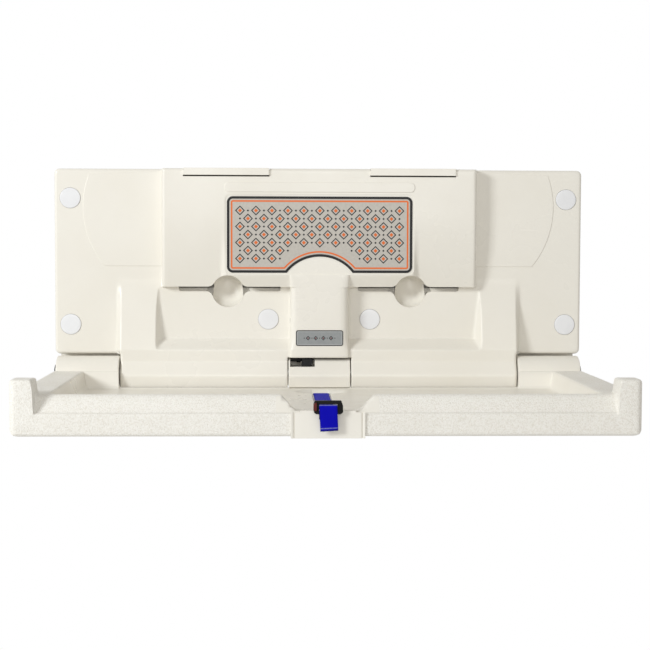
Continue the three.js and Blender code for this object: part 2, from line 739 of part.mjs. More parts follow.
// Front grip plate, a channel hooked over the middle of the front rim
const gripFace = trayReach + fitGap + gripThick;
const gripTop = ledgeZ + fitGap + gripThick;
const gripRear = rimBack + trayWall * 2;

function gripPlate() {
  const foot = trayBottom - fitGap - gripThick;
  const near = trayReach + fitGap;
  const apron = sweepAcross([[near, trayBottom - fitGap], [gripRear, trayBottom - fitGap], [gripRear, foot],
    [gripFace, foot], [gripFace, ledgeZ], [near, ledgeZ]], -gripHalf, gripHalf);
  const lipHalf = notchFootHalf - runGap;
  const lip = sweepAcross([[gripRear, ledgeZ + fitGap], [near, ledgeZ + fitGap], [near, ledgeZ - past],
    [gripFace, ledgeZ - past], [gripFace, gripTop], [gripRear, gripTop]], -lipHalf, lipHalf);
  return piece('front_grip_plate', joined(apron, lip), creamPlastic());
}

// The spring's lower pin lies in an open slot of the crank block
function crankBlock() {
  const chamfer = (crankBlockRight - crankBlockLeft) / 3;
  const foot = crankNotch + fitGap;
  const shape = outlineOf([[crankBlockLeft, foot], [crankBlockRight - chamfer, foot],
    [crankBlockRight, foot + chamfer], [crankBlockRight, crankBlockTop], [crankBlockLeft, crankBlockTop]]);
  const body = slab(shape, crankBlockRear, crankBlockFront);
  const slot = block(crankBlockLeft - past, crankBlockRight + past,
    eyeForward - hingeDepth - crankPinRadius - runGap, crankPinRadius + runGap, crankNotch + runGap,
    crankBlockTop + past);
  return piece('crank_block', cutFrom(body, slot), blackSteel());
}

// Strap: a ribbon of even thickness along [forward, z] points, from its anchor to its hanging tail
const tabFace = gripFace + fitGap + tabThick;
const buckleRear = tabFace + fitGap;
const buckleFront = buckleRear + buckleThick;
const strapRest = fitGap + strapThick / 2;
const dipFloor = bedFloor - dipDepth;
const channelFloor = bedFloor - channelDepth;
const windowMiddle = (buckleTop - buckleBar + buckleFoot + buckleSill) / 2;
const strapRoute = [
  [anchorAt - anchorLength / 2, dipFloor + strapRest],
  [anchorAt + anchorLength / 2 + 4, dipFloor + strapRest],
  [dipEnd - 26, dipFloor + strapRest + 4],
  [dipEnd - 12, bedFloor - 1.2],
  [dipEnd - 2, bedFloor - 0.4],
  [dipEnd + 12, channelFloor + strapRest],
  [bedFront - bedDraft - 9, channelFloor + strapRest],
  [bedFront - bedDraft - 3, bedFloor + 3.5],
  [bedFront - bedDraft + 3, gripTop + strapRest],
  [gripFace - 6, gripTop + strapRest],
  [gripFace - 1, gripTop + strapRest + 1.4],
  [buckleRear, windowMiddle],
  [buckleFront, windowMiddle],
  [buckleFront + strapRest, windowMiddle - 2.5],
  [buckleFront + strapRest, strapTail],
];

function ribbon(route, thick) {
  const points = route.map(([forward, z]) => new THREE.Vector2(forward, z));
  const offset = (sideSign) => points.map((point, i) => {
    const before = points[Math.max(i - 1, 0)];
    const after = points[Math.min(i + 1, points.length - 1)];
    const inward = i > 0 ? point.clone().sub(before).normalize() : after.clone().sub(point).normalize();
    const onward = i < points.length - 1 ? after.clone().sub(point).normalize() : inward;
    const along = inward.clone().add(onward).normalize();
    const stretch = thick / 2 / Math.sqrt((1 + inward.dot(onward)) / 2);
    return [point.x - along.y * stretch * sideSign, point.y + along.x * stretch * sideSign];
  });
  return [...offset(-1), ...offset(1).reverse()];
}

function safetyStrap() {
  const band = sweepAcross(ribbon(strapRoute, strapThick), -strapHalf, strapHalf);
  return piece('safety_strap', band, blueWebbing());
}

function anchorBores() {
  return [-1, 1].map((side) => rodUp(anchorScrewRadius + fitGap, dipFloor - trayWall / 2, bedFloor,
    side * anchorScrewX, anchorAt, pinSteps));
}

const anchorFoot = dipFloor + strapThick + fitGap * 2;

function strapAnchor() {
  const top = anchorFoot + anchorThick;
  const near = anchorAt - anchorLength / 2;
  const bridge = block(-anchorHalf, anchorHalf, near, near + anchorLength, dipFloor + fitGap, top);
  const tunnel = block(-strapHalf - fitGap, strapHalf + fitGap, near - past, near + anchorLength + past,
    dipFloor, anchorFoot);
  const bores = [-1, 1].map((side) => rodUp(anchorScrewRadius + fitGap, dipFloor - past, top + past,
    side * anchorScrewX, anchorAt, pinSteps));
  return piece('strap_anchor', cutFrom(bridge, tunnel, ...bores), zincSteel());
}

function anchorScrew(side) {
  const top = anchorFoot + anchorThick + fitGap;
  const x = side * anchorScrewX;
  const shank = rodUp(anchorScrewRadius, dipFloor - trayWall / 2 + fitGap, top, x, anchorAt, pinSteps);
  const head = rodUp(anchorScrewRadius * 1.7, top, top + anchorScrewRadius, x, anchorAt, pinSteps);
  const sideName = side < 0 ? 'left' : 'right';
  return piece(`anchor_screw_${sideName}`, joined(shank, head), zincSteel());
}

const buttonOuter = -buckleHalf;
const buttonInner = buttonOuter + buttonReach;
const buttonFoot = buckleFoot + buckleSill;
const buttonTop = buckleTop - buckleBar / 2;

function buckleFrame() {
  const body = slab(roundedRect(-buckleHalf, buckleFoot, buckleHalf, buckleTop, buckleSill / 2), buckleRear,
    buckleFront);
  const window = slab(roundedRect(-strapHalf - fitGap, buckleFoot + buckleSill, strapHalf + fitGap,
    buckleTop - buckleBar, fitGap), buckleRear - past, buckleFront + past);
  const buttonSeat = block(buttonOuter - past, buttonInner + buttonTravel, buckleRear + fitGap * 4,
    buckleFront + past, buttonFoot, buttonTop);
  return piece('buckle_frame', cutFrom(body, window, buttonSeat), blackPlastic());
}

function releaseButton() {
  return piece('release_button', block(buttonOuter, buttonInner, buckleRear + fitGap * 5,
    buckleFront - fitGap, buttonFoot + fitGap, buttonTop - fitGap), redPlastic());
}

function buckleTab() {
  return piece('buckle_tab', block(-strapHalf, strapHalf, gripFace + fitGap, tabFace, buckleFoot - buckleSill * 2,
    buckleFoot + buckleSill), blackPlastic());
}

// Assembly
const wallUnit = new THREE.Group();
wallUnit.add(wallPanel(), backplate(), ...screwPlaces.map(screwCap), labelPlate(), badgePlate());
wallUnit.add(lidPin(-1), lidPin(1), linerLid(-1), linerLid(1));
wallUnit.add(hingeRod(), rodCap(-1), rodCap(1));
wallUnit.add(sleeve('barrel_sleeve_left', -barrelHalf, -barrelInner, hingeDepth));
wallUnit.add(sleeve('barrel_sleeve_right', barrelInner, barrelHalf, hingeDepth));
wallUnit.add(strutBracket(), strutPin());

const gasSpring = new THREE.Group();
gasSpring.position.set(strutX, -strutTopDepth, strutTopZ);
gasSpring.rotation.x = -strutLean;
gasSpring.add(strutCylinder(), strutGland(), strutRod(), crankPin());

const tray = new THREE.Group();
tray.position.set(0, -hingeDepth, 0);
tray.add(trayShell(), trayBase(), gripPlate());
tray.add(sleeve('tray_sleeve_left', -knuckleEnd, -knuckleStart, 0));
tray.add(sleeve('tray_sleeve_centre', -centreHalf, centreHalf, 0));
tray.add(sleeve('tray_sleeve_right', knuckleStart, knuckleEnd, 0));
tray.add(crankBlock());
tray.add(safetyStrap(), strapAnchor(), anchorScrew(-1), anchorScrew(1));
tray.add(buckleFrame(), releaseButton(), buckleTab());

const changingStation = new THREE.Group();
changingStation.name = 'changing_station';
changingStation.add(wallUnit, gasSpring, tray);

export default changingStation;
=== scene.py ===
import json
import math
import bpy
import bmesh
import numpy as np
from mathutils import Euler, Matrix, Vector

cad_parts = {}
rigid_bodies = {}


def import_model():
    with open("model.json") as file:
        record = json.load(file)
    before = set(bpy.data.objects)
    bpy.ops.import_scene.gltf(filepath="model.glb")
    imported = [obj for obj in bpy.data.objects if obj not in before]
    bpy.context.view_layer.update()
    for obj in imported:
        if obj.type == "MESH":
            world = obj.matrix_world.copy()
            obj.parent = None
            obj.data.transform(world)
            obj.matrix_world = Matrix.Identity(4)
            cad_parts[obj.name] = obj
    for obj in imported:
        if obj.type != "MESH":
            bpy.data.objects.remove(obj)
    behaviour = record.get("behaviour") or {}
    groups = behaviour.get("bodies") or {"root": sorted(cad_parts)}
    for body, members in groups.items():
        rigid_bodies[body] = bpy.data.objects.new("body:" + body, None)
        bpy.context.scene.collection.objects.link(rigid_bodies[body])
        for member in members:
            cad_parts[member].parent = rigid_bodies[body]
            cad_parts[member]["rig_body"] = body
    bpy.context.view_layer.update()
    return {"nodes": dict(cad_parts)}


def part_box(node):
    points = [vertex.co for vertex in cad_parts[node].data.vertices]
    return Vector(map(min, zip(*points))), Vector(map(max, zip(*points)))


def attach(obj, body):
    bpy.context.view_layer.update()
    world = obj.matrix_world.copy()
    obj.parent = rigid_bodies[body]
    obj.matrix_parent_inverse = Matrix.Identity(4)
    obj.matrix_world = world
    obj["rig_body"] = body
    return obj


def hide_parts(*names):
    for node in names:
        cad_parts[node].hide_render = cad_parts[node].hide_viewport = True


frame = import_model()
mm = 0.001  # the dictionaries below hold millimetres and degrees
scene = bpy.context.scene
scene.view_settings.view_transform = "Standard"
print("frame loaded:", len(frame["nodes"]), "nodes")

# Node helpers: an input takes a number, a colour or another node's output


def feed(tree, value, socket):
    if isinstance(value, bpy.types.NodeSocket):
        tree.links.new(value, socket)
    else:
        socket.default_value = (*value, 1.0) if socket.type == "RGBA" else value


def addNode(tree, kind, takes=None, **settings):
    made = tree.nodes.new(kind)
    for key, value in settings.items():
        setattr(made, key, value)
    for label, value in (takes or {}).items():
        feed(tree, value, made.inputs[label])
    return made


def calc(tree, operation, *values):
    return addNode(tree, "ShaderNodeMath", dict(enumerate(values)), operation=operation).outputs[0]


def newMaterial(name):
    made = bpy.data.materials.new(name)
    made.use_nodes = True
    return made, made.node_tree, made.node_tree.nodes["Principled BSDF"]


# Camera and light

view = {"eye": (-73.7, -2514.4, 216.3), "focalPixels": 1444.2, "framePixels": 650, "sensor": 36,
        "yaw": 1.94, "pitch": 3.127, "roll": 0.164, "clipMetres": 100}

studio = {"ambient": 0.46, "ambientTint": (1.0, 0.972, 0.915),
          "backdrop": 1.0, "backdropTint": (1.0, 1.0, 1.0),
          "floorDrop": 900, "floorHalf": 1700, "floorFront": 2380, "floorBack": 900,
          "floorColour": (0.9, 0.9, 0.9), "floorRough": 0.8,
          "key": {"at": (-3100, -2600, 1500), "size": 1000, "watts": 100, "tint": (0.95, 0.98, 1.0)},
          "fill": {"at": (200, -5900, 1150), "size": 1300, "watts": 45, "tint": (1.0, 0.99, 0.97)},
          "aim": (0, -100, 80)}


def addCamera(spec):
    camera = bpy.data.cameras.new("photoCamera")
    camera.sensor_width = spec["sensor"]
    camera.lens = spec["focalPixels"] / spec["framePixels"] * spec["sensor"]
    camera.clip_end = spec["clipMetres"]
    rig = bpy.data.objects.new("photoCamera", camera)
    turn = Euler((math.radians(90 - spec["pitch"]), 0, math.radians(-spec["yaw"]))).to_matrix().to_4x4()
    turn = turn @ Matrix.Rotation(math.radians(spec["roll"]), 4, "Z")
    rig.matrix_world = Matrix.Translation(Vector(spec["eye"]) * mm) @ turn
    scene.collection.objects.link(rig)
    scene.camera = rig


def addLamp(name, spec, aim):
    lamp = bpy.data.lights.new(name, "AREA")
    lamp.size = spec["size"] * mm
    lamp.energy = spec["watts"]
    lamp.color = spec["tint"]
    rig = bpy.data.objects.new(name, lamp)
    place = Vector(spec["at"]) * mm
    rig.location = place
    rig.rotation_euler = (Vector(aim) * mm - place).to_track_quat("-Z", "Y").to_euler()
    scene.collection.objects.link(rig)


def addWorld(spec):
    world = bpy.data.worlds.new("studioWorld")
    scene.world = world
    world.use_nodes = True
    tree = world.node_tree
    tree.nodes.clear()
    path = addNode(tree, "ShaderNodeLightPath").outputs
    seen = calc(tree, "MAXIMUM", path["Is Camera Ray"], path["Is Glossy Ray"])
    seen = calc(tree, "MAXIMUM", seen, path["Is Transmission Ray"])
    glows = [{"Color": spec[glow + "Tint"], "Strength": spec[glow]} for glow in ("ambient", "backdrop")]
    soft, plain = (addNode(tree, "ShaderNodeBackground", glow).outputs[0] for glow in glows)
    mix = addNode(tree, "ShaderNodeMixShader", {0: seen, 1: soft, 2: plain})
    addNode(tree, "ShaderNodeOutputWorld", {"Surface": mix.outputs[0]})


def addFloor(spec):
    half, front, back, drop = (spec["floor" + key] * mm for key in ("Half", "Front", "Back", "Drop"))
    corners = [(-half, -front, -drop), (half, -front, -drop), (half, back, -drop), (-half, back, -drop)]
    mesh = bpy.data.meshes.new("studioFloor")
    mesh.from_pydata(corners, [], [(0, 1, 2, 3)])
    floor = bpy.data.objects.new("studioFloor", mesh)
    scene.collection.objects.link(floor)
    paint, tree, shade = newMaterial("floorPaint")
    feed(tree, spec["floorColour"], shade.inputs["Base Color"])
    feed(tree, spec["floorRough"], shade.inputs["Roughness"])
    below = addNode(tree, "ShaderNodeNewGeometry").outputs["Backfacing"]
    clear = addNode(tree, "ShaderNodeBsdfTransparent")  # from below, so the underside can be looked at
    mix = addNode(tree, "ShaderNodeMixShader", {0: below, 1: shade.outputs[0], 2: clear.outputs[0]})
    feed(tree, mix.outputs[0], tree.nodes["Material Output"].inputs["Surface"])
    mesh.materials.append(paint)


addCamera(view)
addWorld(studio)
addFloor(studio)
for lampName in ("key", "fill"):
    addLamp(lampName + "Lamp", studio[lampName], studio["aim"])
print("camera and light placed")

# Shared shader groups


def newGroup(name, takes, gives):
    tree = bpy.data.node_groups.new(name, "ShaderNodeTree")
    for label, value in takes.items():
        socket = tree.interface.new_socket(label, in_out="INPUT", socket_type="NodeSocketFloat")
        socket.default_value = value
    for label in gives:
        tree.interface.new_socket(label, in_out="OUTPUT", socket_type="NodeSocketFloat")
    return tree, addNode(tree, "NodeGroupInput").outputs, addNode(tree, "NodeGroupOutput").inputs


def objectPlace(tree):
    return addNode(tree, "ShaderNodeTexCoord").outputs["Object"]


def noiseOf(tree, place, scale, detail=2.0, rough=0.5):
    takes = {"Vector": place, "Scale": scale, "Detail": detail, "Roughness": rough}
    return addNode(tree, "ShaderNodeTexNoise", takes).outputs["Fac"]


def ranged(tree, value, low, high, toLow=0.0, toHigh=1.0):
    takes = {"Value": value, "From Min": low, "From Max": high, "To Min": toLow, "To Max": toHigh}
    return addNode(tree, "ShaderNodeMapRange", takes, interpolation_type="SMOOTHSTEP").outputs["Result"]


# Fine skin of moulded plastic: a grain height and a broad mottle
def buildMouldSkin():
    scales = {"Grain Scale": 900.0, "Mottle Scale": 7.0}
    tree, takes, gives = newGroup("mouldSkin", scales, ("Height", "Mottle"))
    place = objectPlace(tree)
    grain = noiseOf(tree, place, takes["Grain Scale"], 3.0, 0.6)
    ripple = noiseOf(tree, place, calc(tree, "MULTIPLY", takes["Mottle Scale"], 4.0))
    feed(tree, calc(tree, "ADD", grain, calc(tree, "MULTIPLY", ripple, 0.6)), gives["Height"])
    feed(tree, noiseOf(tree, place, takes["Mottle Scale"], 4.0, 0.55), gives["Mottle"])
    return tree


# Speckled stipple, as of a blasted mould
def buildStipple():
    tree, takes, gives = newGroup("blastedStipple", {"Pit Scale": 520.0}, ("Height", "Speck"))
    place = objectPlace(tree)
    setting = {"Vector": place, "Scale": takes["Pit Scale"], "Smoothness": 0.6}
    pits = addNode(tree, "ShaderNodeTexVoronoi", setting, feature="SMOOTH_F1")
    crumbs = noiseOf(tree, place, calc(tree, "MULTIPLY", takes["Pit Scale"], 0.55), 4.0, 0.7)
    feed(tree, calc(tree, "ADD", pits.outputs["Distance"], crumbs), gives["Height"])
    feed(tree, ranged(tree, crumbs, 0.42, 0.68), gives["Speck"])
    return tree


# Rubbed edges and long light scuffs
def buildWear():
    tree, takes, gives = newGroup("handlingWear", {"Edge": 0.56, "Scuff Scale": 9.0}, ("Edge", "Scuff"))
    place = objectPlace(tree)
    bent = addNode(tree, "ShaderNodeNewGeometry").outputs["Pointiness"]
    rim = ranged(tree, bent, takes["Edge"], calc(tree, "ADD", takes["Edge"], 0.12))
    patch = ranged(tree, noiseOf(tree, place, 26.0, 3.0), 0.38, 0.62)
    feed(tree, calc(tree, "MULTIPLY", rim, patch), gives["Edge"])
    setting = {"Vector": place, "Scale": (1.0, 6.0, 14.0), "Rotation": (0.0, 0.35, 0.2)}
    stretch = addNode(tree, "ShaderNodeMapping", setting)
    scuff = noiseOf(tree, stretch.outputs["Vector"], takes["Scuff Scale"], 5.0, 0.7)
    feed(tree, ranged(tree, scuff, 0.64, 0.76), gives["Scuff"])
    return tree


# Dust lying on what faces up
def buildDust():
    tree, takes, gives = newGroup("settledDust", {"Reach": 0.75}, ("Dust",))
    facing = addNode(tree, "ShaderNodeNewGeometry").outputs["Normal"]
    upward = addNode(tree, "ShaderNodeSeparateXYZ", {0: facing}).outputs["Z"]
    cloud = ranged(tree, noiseOf(tree, objectPlace(tree), 30.0, 4.0, 0.6), 0.35, 0.75)
    feed(tree, calc(tree, "MULTIPLY", ranged(tree, upward, takes["Reach"], 1.0), cloud), gives["Dust"])
    return tree


mouldSkin = buildMouldSkin()
blastedStipple = buildStipple()
handlingWear = buildWear()
settledDust = buildDust()


def groupIn(tree, group, takes=None):
    return addNode(tree, "ShaderNodeGroup", takes, node_tree=group).outputs


def blendColour(tree, amount, first, second):
    made = addNode(tree, "ShaderNodeMix", {0: amount}, data_type="RGBA", blend_type="MIX")
    for socket, colour in zip([socket for socket in made.inputs if socket.type == "RGBA"], (first, second)):
        feed(tree, colour, socket)
    return [socket for socket in made.outputs if socket.type == "RGBA"][0]


# A tone laid over a colour, as far as a mask and a share let it show
def layOver(tree, colour, tone, mask, share):
    return blendColour(tree, calc(tree, "MULTIPLY", mask, share), colour, tone)


def setBump(tree, shade, height, distance, strength):
    setting = {"Height": height, "Distance": distance * mm, "Strength": strength}
    bump = addNode(tree, "ShaderNodeBump", setting)
    feed(tree, bump.outputs["Normal"], shade.inputs["Normal"])


# Moulded plastics: colour, its darker mottle, and how much wear and dust it carries
plastics = {
    "smoothCream": {"colour": (0.835, 0.807, 0.74), "mottle": (0.812, 0.78, 0.707),
                    "rubbed": (0.87, 0.845, 0.78), "rough": (0.26, 0.36), "mottleScale": 6.0,
                    "grainScale": 900.0, "grainDepth": 0.05, "grainForce": 0.25, "wear": 0.35, "dust": 0.05},
    "speckledCream": {"colour": (0.96, 0.945, 0.9), "mottle": (0.755, 0.715, 0.635),
                      "rubbed": (0.88, 0.86, 0.80), "rough": (0.45, 0.6), "mottleScale": 8.0,
                      "pitScale": 850.0, "grainDepth": 0.8, "grainForce": 0.9, "wear": 0.45, "dust": 0.06},
    "capWhite": {"colour": (0.82, 0.825, 0.845), "mottle": (0.785, 0.79, 0.81),
                 "rubbed": (0.88, 0.88, 0.89), "rough": (0.3, 0.42), "mottleScale": 22.0,
                 "grainScale": 1200.0, "grainDepth": 0.03, "grainForce": 0.2, "wear": 0.3, "dust": 0.08},
    "buckleBlack": {"colour": (0.006, 0.006, 0.007), "mottle": (0.011, 0.010, 0.010), "gloss": 0.1,
                    "rubbed": (0.04, 0.04, 0.042), "rough": (0.32, 0.48), "mottleScale": 40.0,
                    "pitScale": 1500.0, "grainDepth": 0.06, "grainForce": 0.3, "wear": 0.6, "dust": 0.10},
    "releaseRed": {"colour": (0.10, 0.012, 0.010), "mottle": (0.075, 0.010, 0.008), "gloss": 0.25,
                   "rubbed": (0.2, 0.05, 0.045), "rough": (0.3, 0.42), "mottleScale": 60.0,
                   "grainScale": 1600.0, "grainDepth": 0.04, "grainForce": 0.25, "wear": 0.6, "dust": 0.05},
}
dustColour = (0.60, 0.575, 0.51)
dustRough, scuffRough = 0.15, 0.10  # roughness that dust and scuffs add
speckShare = 0.6  # of the tone on a speckled plastic; the mottle gives the rest
plainGloss = 0.5


def buildPlastic(name, spec):
    made, tree, shade = newMaterial(name)
    grain = {"Grain Scale": spec["grainScale"]} if "grainScale" in spec else {}
    skin = groupIn(tree, mouldSkin, {"Mottle Scale": spec["mottleScale"], **grain})
    wear, dust = groupIn(tree, handlingWear), groupIn(tree, settledDust)["Dust"]
    height, tone = skin["Height"], skin["Mottle"]
    if "pitScale" in spec:
        stipple = groupIn(tree, blastedStipple, {"Pit Scale": spec["pitScale"]})
        height = stipple["Height"]
        mottle = calc(tree, "MULTIPLY", tone, 1 - speckShare)
        tone = calc(tree, "MULTIPLY_ADD", stipple["Speck"], speckShare, mottle)
    else:
        tone = ranged(tree, tone, 0.35, 0.7)
    colour = blendColour(tree, tone, spec["colour"], spec["mottle"])
    colour = layOver(tree, colour, spec["rubbed"], wear["Edge"], spec["wear"])
    feed(tree, layOver(tree, colour, dustColour, dust, spec["dust"]), shade.inputs["Base Color"])
    rough = ranged(tree, skin["Mottle"], 0.3, 0.7, *spec["rough"])
    rough = calc(tree, "MULTIPLY_ADD", wear["Scuff"], scuffRough, rough)
    feed(tree, calc(tree, "MULTIPLY_ADD", dust, dustRough, rough), shade.inputs["Roughness"])
    feed(tree, spec.get("gloss", plainGloss), shade.inputs["Specular IOR Level"])
    setBump(tree, shade, height, spec["grainDepth"], spec["grainForce"])
    return made


# Metals: plated, painted and chromed
metals = {
    "zincPlate": {"colour": (0.56, 0.57, 0.57), "mottle": (0.44, 0.45, 0.46), "rubbed": (0.7, 0.7, 0.7),
                  "metal": 1.0, "rough": (0.3, 0.46), "brush": (1.0, 1.0, 40.0), "scale": 14.0,
                  "depth": 0.04, "force": 0.2},
    "blackCoat": {"colour": (0.008, 0.008, 0.009), "mottle": (0.014, 0.014, 0.015), "gloss": 0.2,
                  "rubbed": (0.12, 0.12, 0.12), "metal": 0.0, "rough": (0.38, 0.55),
                  "brush": (1.0, 1.0, 1.0), "scale": 260.0, "depth": 0.08, "force": 0.35},
    "hardChrome": {"colour": (0.72, 0.73, 0.74), "mottle": (0.63, 0.64, 0.66), "rubbed": (0.8, 0.8, 0.8),
                   "metal": 1.0, "rough": (0.1, 0.2), "brush": (30.0, 30.0, 1.0), "scale": 20.0,
                   "depth": 0.01, "force": 0.1},
}
metalWear = 0.5  # how far the rubbed tone shows at an edge


def buildMetal(name, spec):
    made, tree, shade = newMaterial(name)
    stretch = addNode(tree, "ShaderNodeMapping", {"Vector": objectPlace(tree), "Scale": spec["brush"]})
    lines = noiseOf(tree, stretch.outputs["Vector"], spec["scale"], 5.0, 0.65)
    colour = blendColour(tree, ranged(tree, lines, 0.35, 0.68), spec["colour"], spec["mottle"])
    colour = layOver(tree, colour, spec["rubbed"], groupIn(tree, handlingWear)["Edge"], metalWear)
    feed(tree, colour, shade.inputs["Base Color"])
    feed(tree, spec["metal"], shade.inputs["Metallic"])
    feed(tree, spec.get("gloss", plainGloss), shade.inputs["Specular IOR Level"])
    feed(tree, ranged(tree, lines, 0.3, 0.7, *spec["rough"]), shade.inputs["Roughness"])
    setBump(tree, shade, lines, spec["depth"], spec["force"])
    return made


finishes = {name: buildPlastic(name, spec) for name, spec in plastics.items()}
finishes.update({name: buildMetal(name, spec) for name, spec in metals.items()})
print("finishes built:", len(finishes))

# Mesh helpers. Places are (across, forward from the wall, up) in millimetres.


def toPoint(across, forward, up):
    return (across * mm, -forward * mm, up * mm)


def unit(vectors):
    return vectors / np.linalg.norm(vectors, axis=-1, keepdims=True)


def meshOf(name, points, faces):
    mesh = bpy.data.meshes.new(name)
    mesh.from_pydata(points, [], faces)
    work = bmesh.new()
    work.from_mesh(mesh)
    bmesh.ops.recalc_face_normals(work, faces=work.faces)
    work.to_mesh(mesh)
    work.free()
    return mesh


def blockMesh(*spans):
    work = bmesh.new()
    bmesh.ops.create_cube(work, size=1.0)
    for point in work.verts:
        spot = [low + (high - low) * (share + 0.5) for share, (low, high) in zip(point.co, spans)]
        point.co = toPoint(*spot)
    work.normal_update()
    bmesh.ops.recalc_face_normals(work, faces=work.faces)
    mesh = bpy.data.meshes.new("block")
    work.to_mesh(mesh)
    work.free()
    return mesh


# A solid of revolution: profile of (radius, along), turned about an axis through a centre
def turnedMesh(profile, centre, axis, steps=48, lifts=None):
    points, rings, faces = [], [], []
    for (radius, along), lift in zip(profile, lifts or [0] * len(profile)):
        ring = []
        count = steps if radius else 1
        for step in range(count):
            angle = 2 * math.pi * step / steps
            side, rise = radius * math.cos(angle), radius * math.sin(angle) + lift
            local = (along, side, rise) if axis == "across" else (side, along, rise)
            ring.append(len(points))
            points.append(toPoint(*(c + l for c, l in zip(centre, local))))
        rings.append(ring)
    for first, second in zip(rings, rings[1:]):
        for step in range(steps):
            after = (step + 1) % steps
            corners = [first[step % len(first)], first[after % len(first)],
                       second[after % len(second)], second[step % len(second)]]
            corners = list(dict.fromkeys(corners))
            if len(corners) > 2:
                faces.append(corners)
    for ring in (rings[0], rings[-1]):
        if len(ring) > 1:
            faces.append(ring)
    return meshOf("turned", points, faces)


def rodMesh(radius, left, right, forward, up, steps=48, soft=0.0):
    chamfer = [(soft, 0), (soft * 0.3, soft * 0.3), (0, soft)] if soft else [(0, 0)]
    near = [(radius - inset, left + along) for inset, along in chamfer]
    far = [(radius - inset, right - along) for inset, along in reversed(chamfer)]
    return turnedMesh([(0, left)] + near + far + [(0, right)], (0, forward, up), "across", steps)


# Rings with one count of points, joined in order and closed at both ends
def ringsMesh(name, rings):
    count = len(rings[0])
    last = (len(rings) - 1) * count
    faces = [list(range(count)), list(range(last, last + count))]
    for start in range(0, last, count):
        for here, after in zip(range(count), [*range(1, count), 0]):
            faces.append([start + here, start + after, start + count + after, start + count + here])
    return meshOf(name, [point for ring in rings for point in ring], faces)


# An outline of (across, up) carried forward from near to far
def prismMesh(outline, near, far):
    return ringsMesh("prism", [[toPoint(x, forward, z) for x, z in outline] for forward in (near, far)])


# A profile of (forward, up) carried across from left to right
def barMesh(profile, left, right):
    return ringsMesh("bar", [[toPoint(x, forward, up) for forward, up in profile] for x in (left, right)])


# A prism whose far edge, or both edges, are rounded off
def softPrism(outline, near, far, soft, both=False, lay=toPoint, steps=4):
    ring = np.array(outline)
    ahead, behind = np.roll(ring, -1, axis=0) - ring, ring - np.roll(ring, 1, axis=0)
    along = unit(ahead) + unit(behind)
    inward = unit(np.stack([-along[:, 1], along[:, 0]], axis=1))
    area = np.sum(ring[:, 0] * np.roll(ring[:, 1], -1) - ring[:, 1] * np.roll(ring[:, 0], -1))
    inward = inward * np.sign(area)
    turns = [math.pi / 2 * step / steps for step in range(steps + 1)]
    bend = [(soft * (1 - math.cos(turn)), soft * (1 - math.sin(turn))) for turn in turns]
    start = [(inset, near + back) for inset, back in reversed(bend)] if both else [(0, near)]
    levels = start + [(inset, far - back) for inset, back in bend]
    rings = [[lay(a, level, b) for a, b in ring + inward * inset] for inset, level in levels]
    return ringsMesh("softPrism", rings)


# Points along the circle through three places
def arcThrough(first, middle, last, steps=20):
    a, b, c = (complex(*spot) for spot in (first, middle, last))
    w = (c - a) / (b - a)
    centre = (b - a) * (w - abs(w) ** 2) / (2j * w.imag) + a
    start, end = np.angle(a - centre), np.angle(c - centre)
    sweep = (end - start + math.pi) % (2 * math.pi) - math.pi
    spots = [centre + abs(a - centre) * np.exp(1j * (start + sweep * k / steps)) for k in range(steps + 1)]
    return [(spot.real, spot.imag) for spot in spots]


def roundedOutline(left, foot, right, top, radius, steps=7):
    outline = []
    for x, z, start in ((right - radius, top - radius, 0), (left + radius, top - radius, 90),
                        (left + radius, foot + radius, 180), (right - radius, foot + radius, 270)):
        for step in range(steps + 1):
            angle = math.radians(start + 90 * step / steps)
            outline.append((x + radius * math.cos(angle), z + radius * math.sin(angle)))
    return outline


def plateShape(spec):
    return roundedOutline(-spec["half"], spec["foot"], spec["half"], spec["top"], spec["corner"])


def newPiece(name, mesh, *names):
    mesh.name = name
    piece = bpy.data.objects.new(name, mesh)
    scene.collection.objects.link(piece)
    mesh.materials.clear()
    for finish in names:
        mesh.materials.append(finishes[finish])
    return piece


def settle(piece):
    shown = piece.evaluated_get(bpy.context.evaluated_depsgraph_get())
    mesh = bpy.data.meshes.new_from_object(shown)
    mesh.name = piece.name
    piece.modifiers.clear()
    piece.data = mesh


def carve(piece, *tools, operation="DIFFERENCE"):
    for tool in tools:
        cutter = bpy.data.objects.new("carvingTool", tool)
        scene.collection.objects.link(cutter)
        cut = piece.modifiers.new("carve", "BOOLEAN")
        cut.operation = operation
        cut.solver = "MANIFOLD"
        cut.object = cutter
        settle(piece)
        bpy.data.objects.remove(cutter)


def join(piece, *tools):
    carve(piece, *tools, operation="UNION")


normalWeight = 80  # above 50, large faces sway the shading more


def smoothFaces(piece, angle=32):
    mesh = piece.data
    mesh.polygons.foreach_set("use_smooth", [True] * len(mesh.polygons))
    mesh.set_sharp_from_angle(angle=math.radians(angle))
    even = piece.modifiers.new("evenNormals", "WEIGHTED_NORMAL")
    even.keep_sharp = True
    even.weight = normalWeight
    settle(piece)


cornerShare = 0.48  # of a leg, at most, goes into its rounded corner


# A line of (along, height) points with its inner corners rounded; returns two rising arrays
def roundedLine(points, radii, steps=6):
    line = [points[0]]
    for place, radius in enumerate(radii):
        before, corner, after = (np.array(points[place + k], float) for k in range(3))
        back, ahead = before - corner, after - corner
        spanBack, spanAhead = np.linalg.norm(back), np.linalg.norm(ahead)
        bend = math.pi - math.acos(np.clip(back @ ahead / (spanBack * spanAhead), -1, 1))
        reach = min(radius * math.tan(bend / 2), spanBack * cornerShare, spanAhead * cornerShare)
        start, end = corner + back / spanBack * reach, corner + ahead / spanAhead * reach
        for step in range(steps + 1):
            t = step / steps
            line.append(tuple((1 - t) ** 2 * start + 2 * t * (1 - t) * corner + t * t * end))
    line.append(points[-1])
    along, height = np.array(line).T
    return along, height


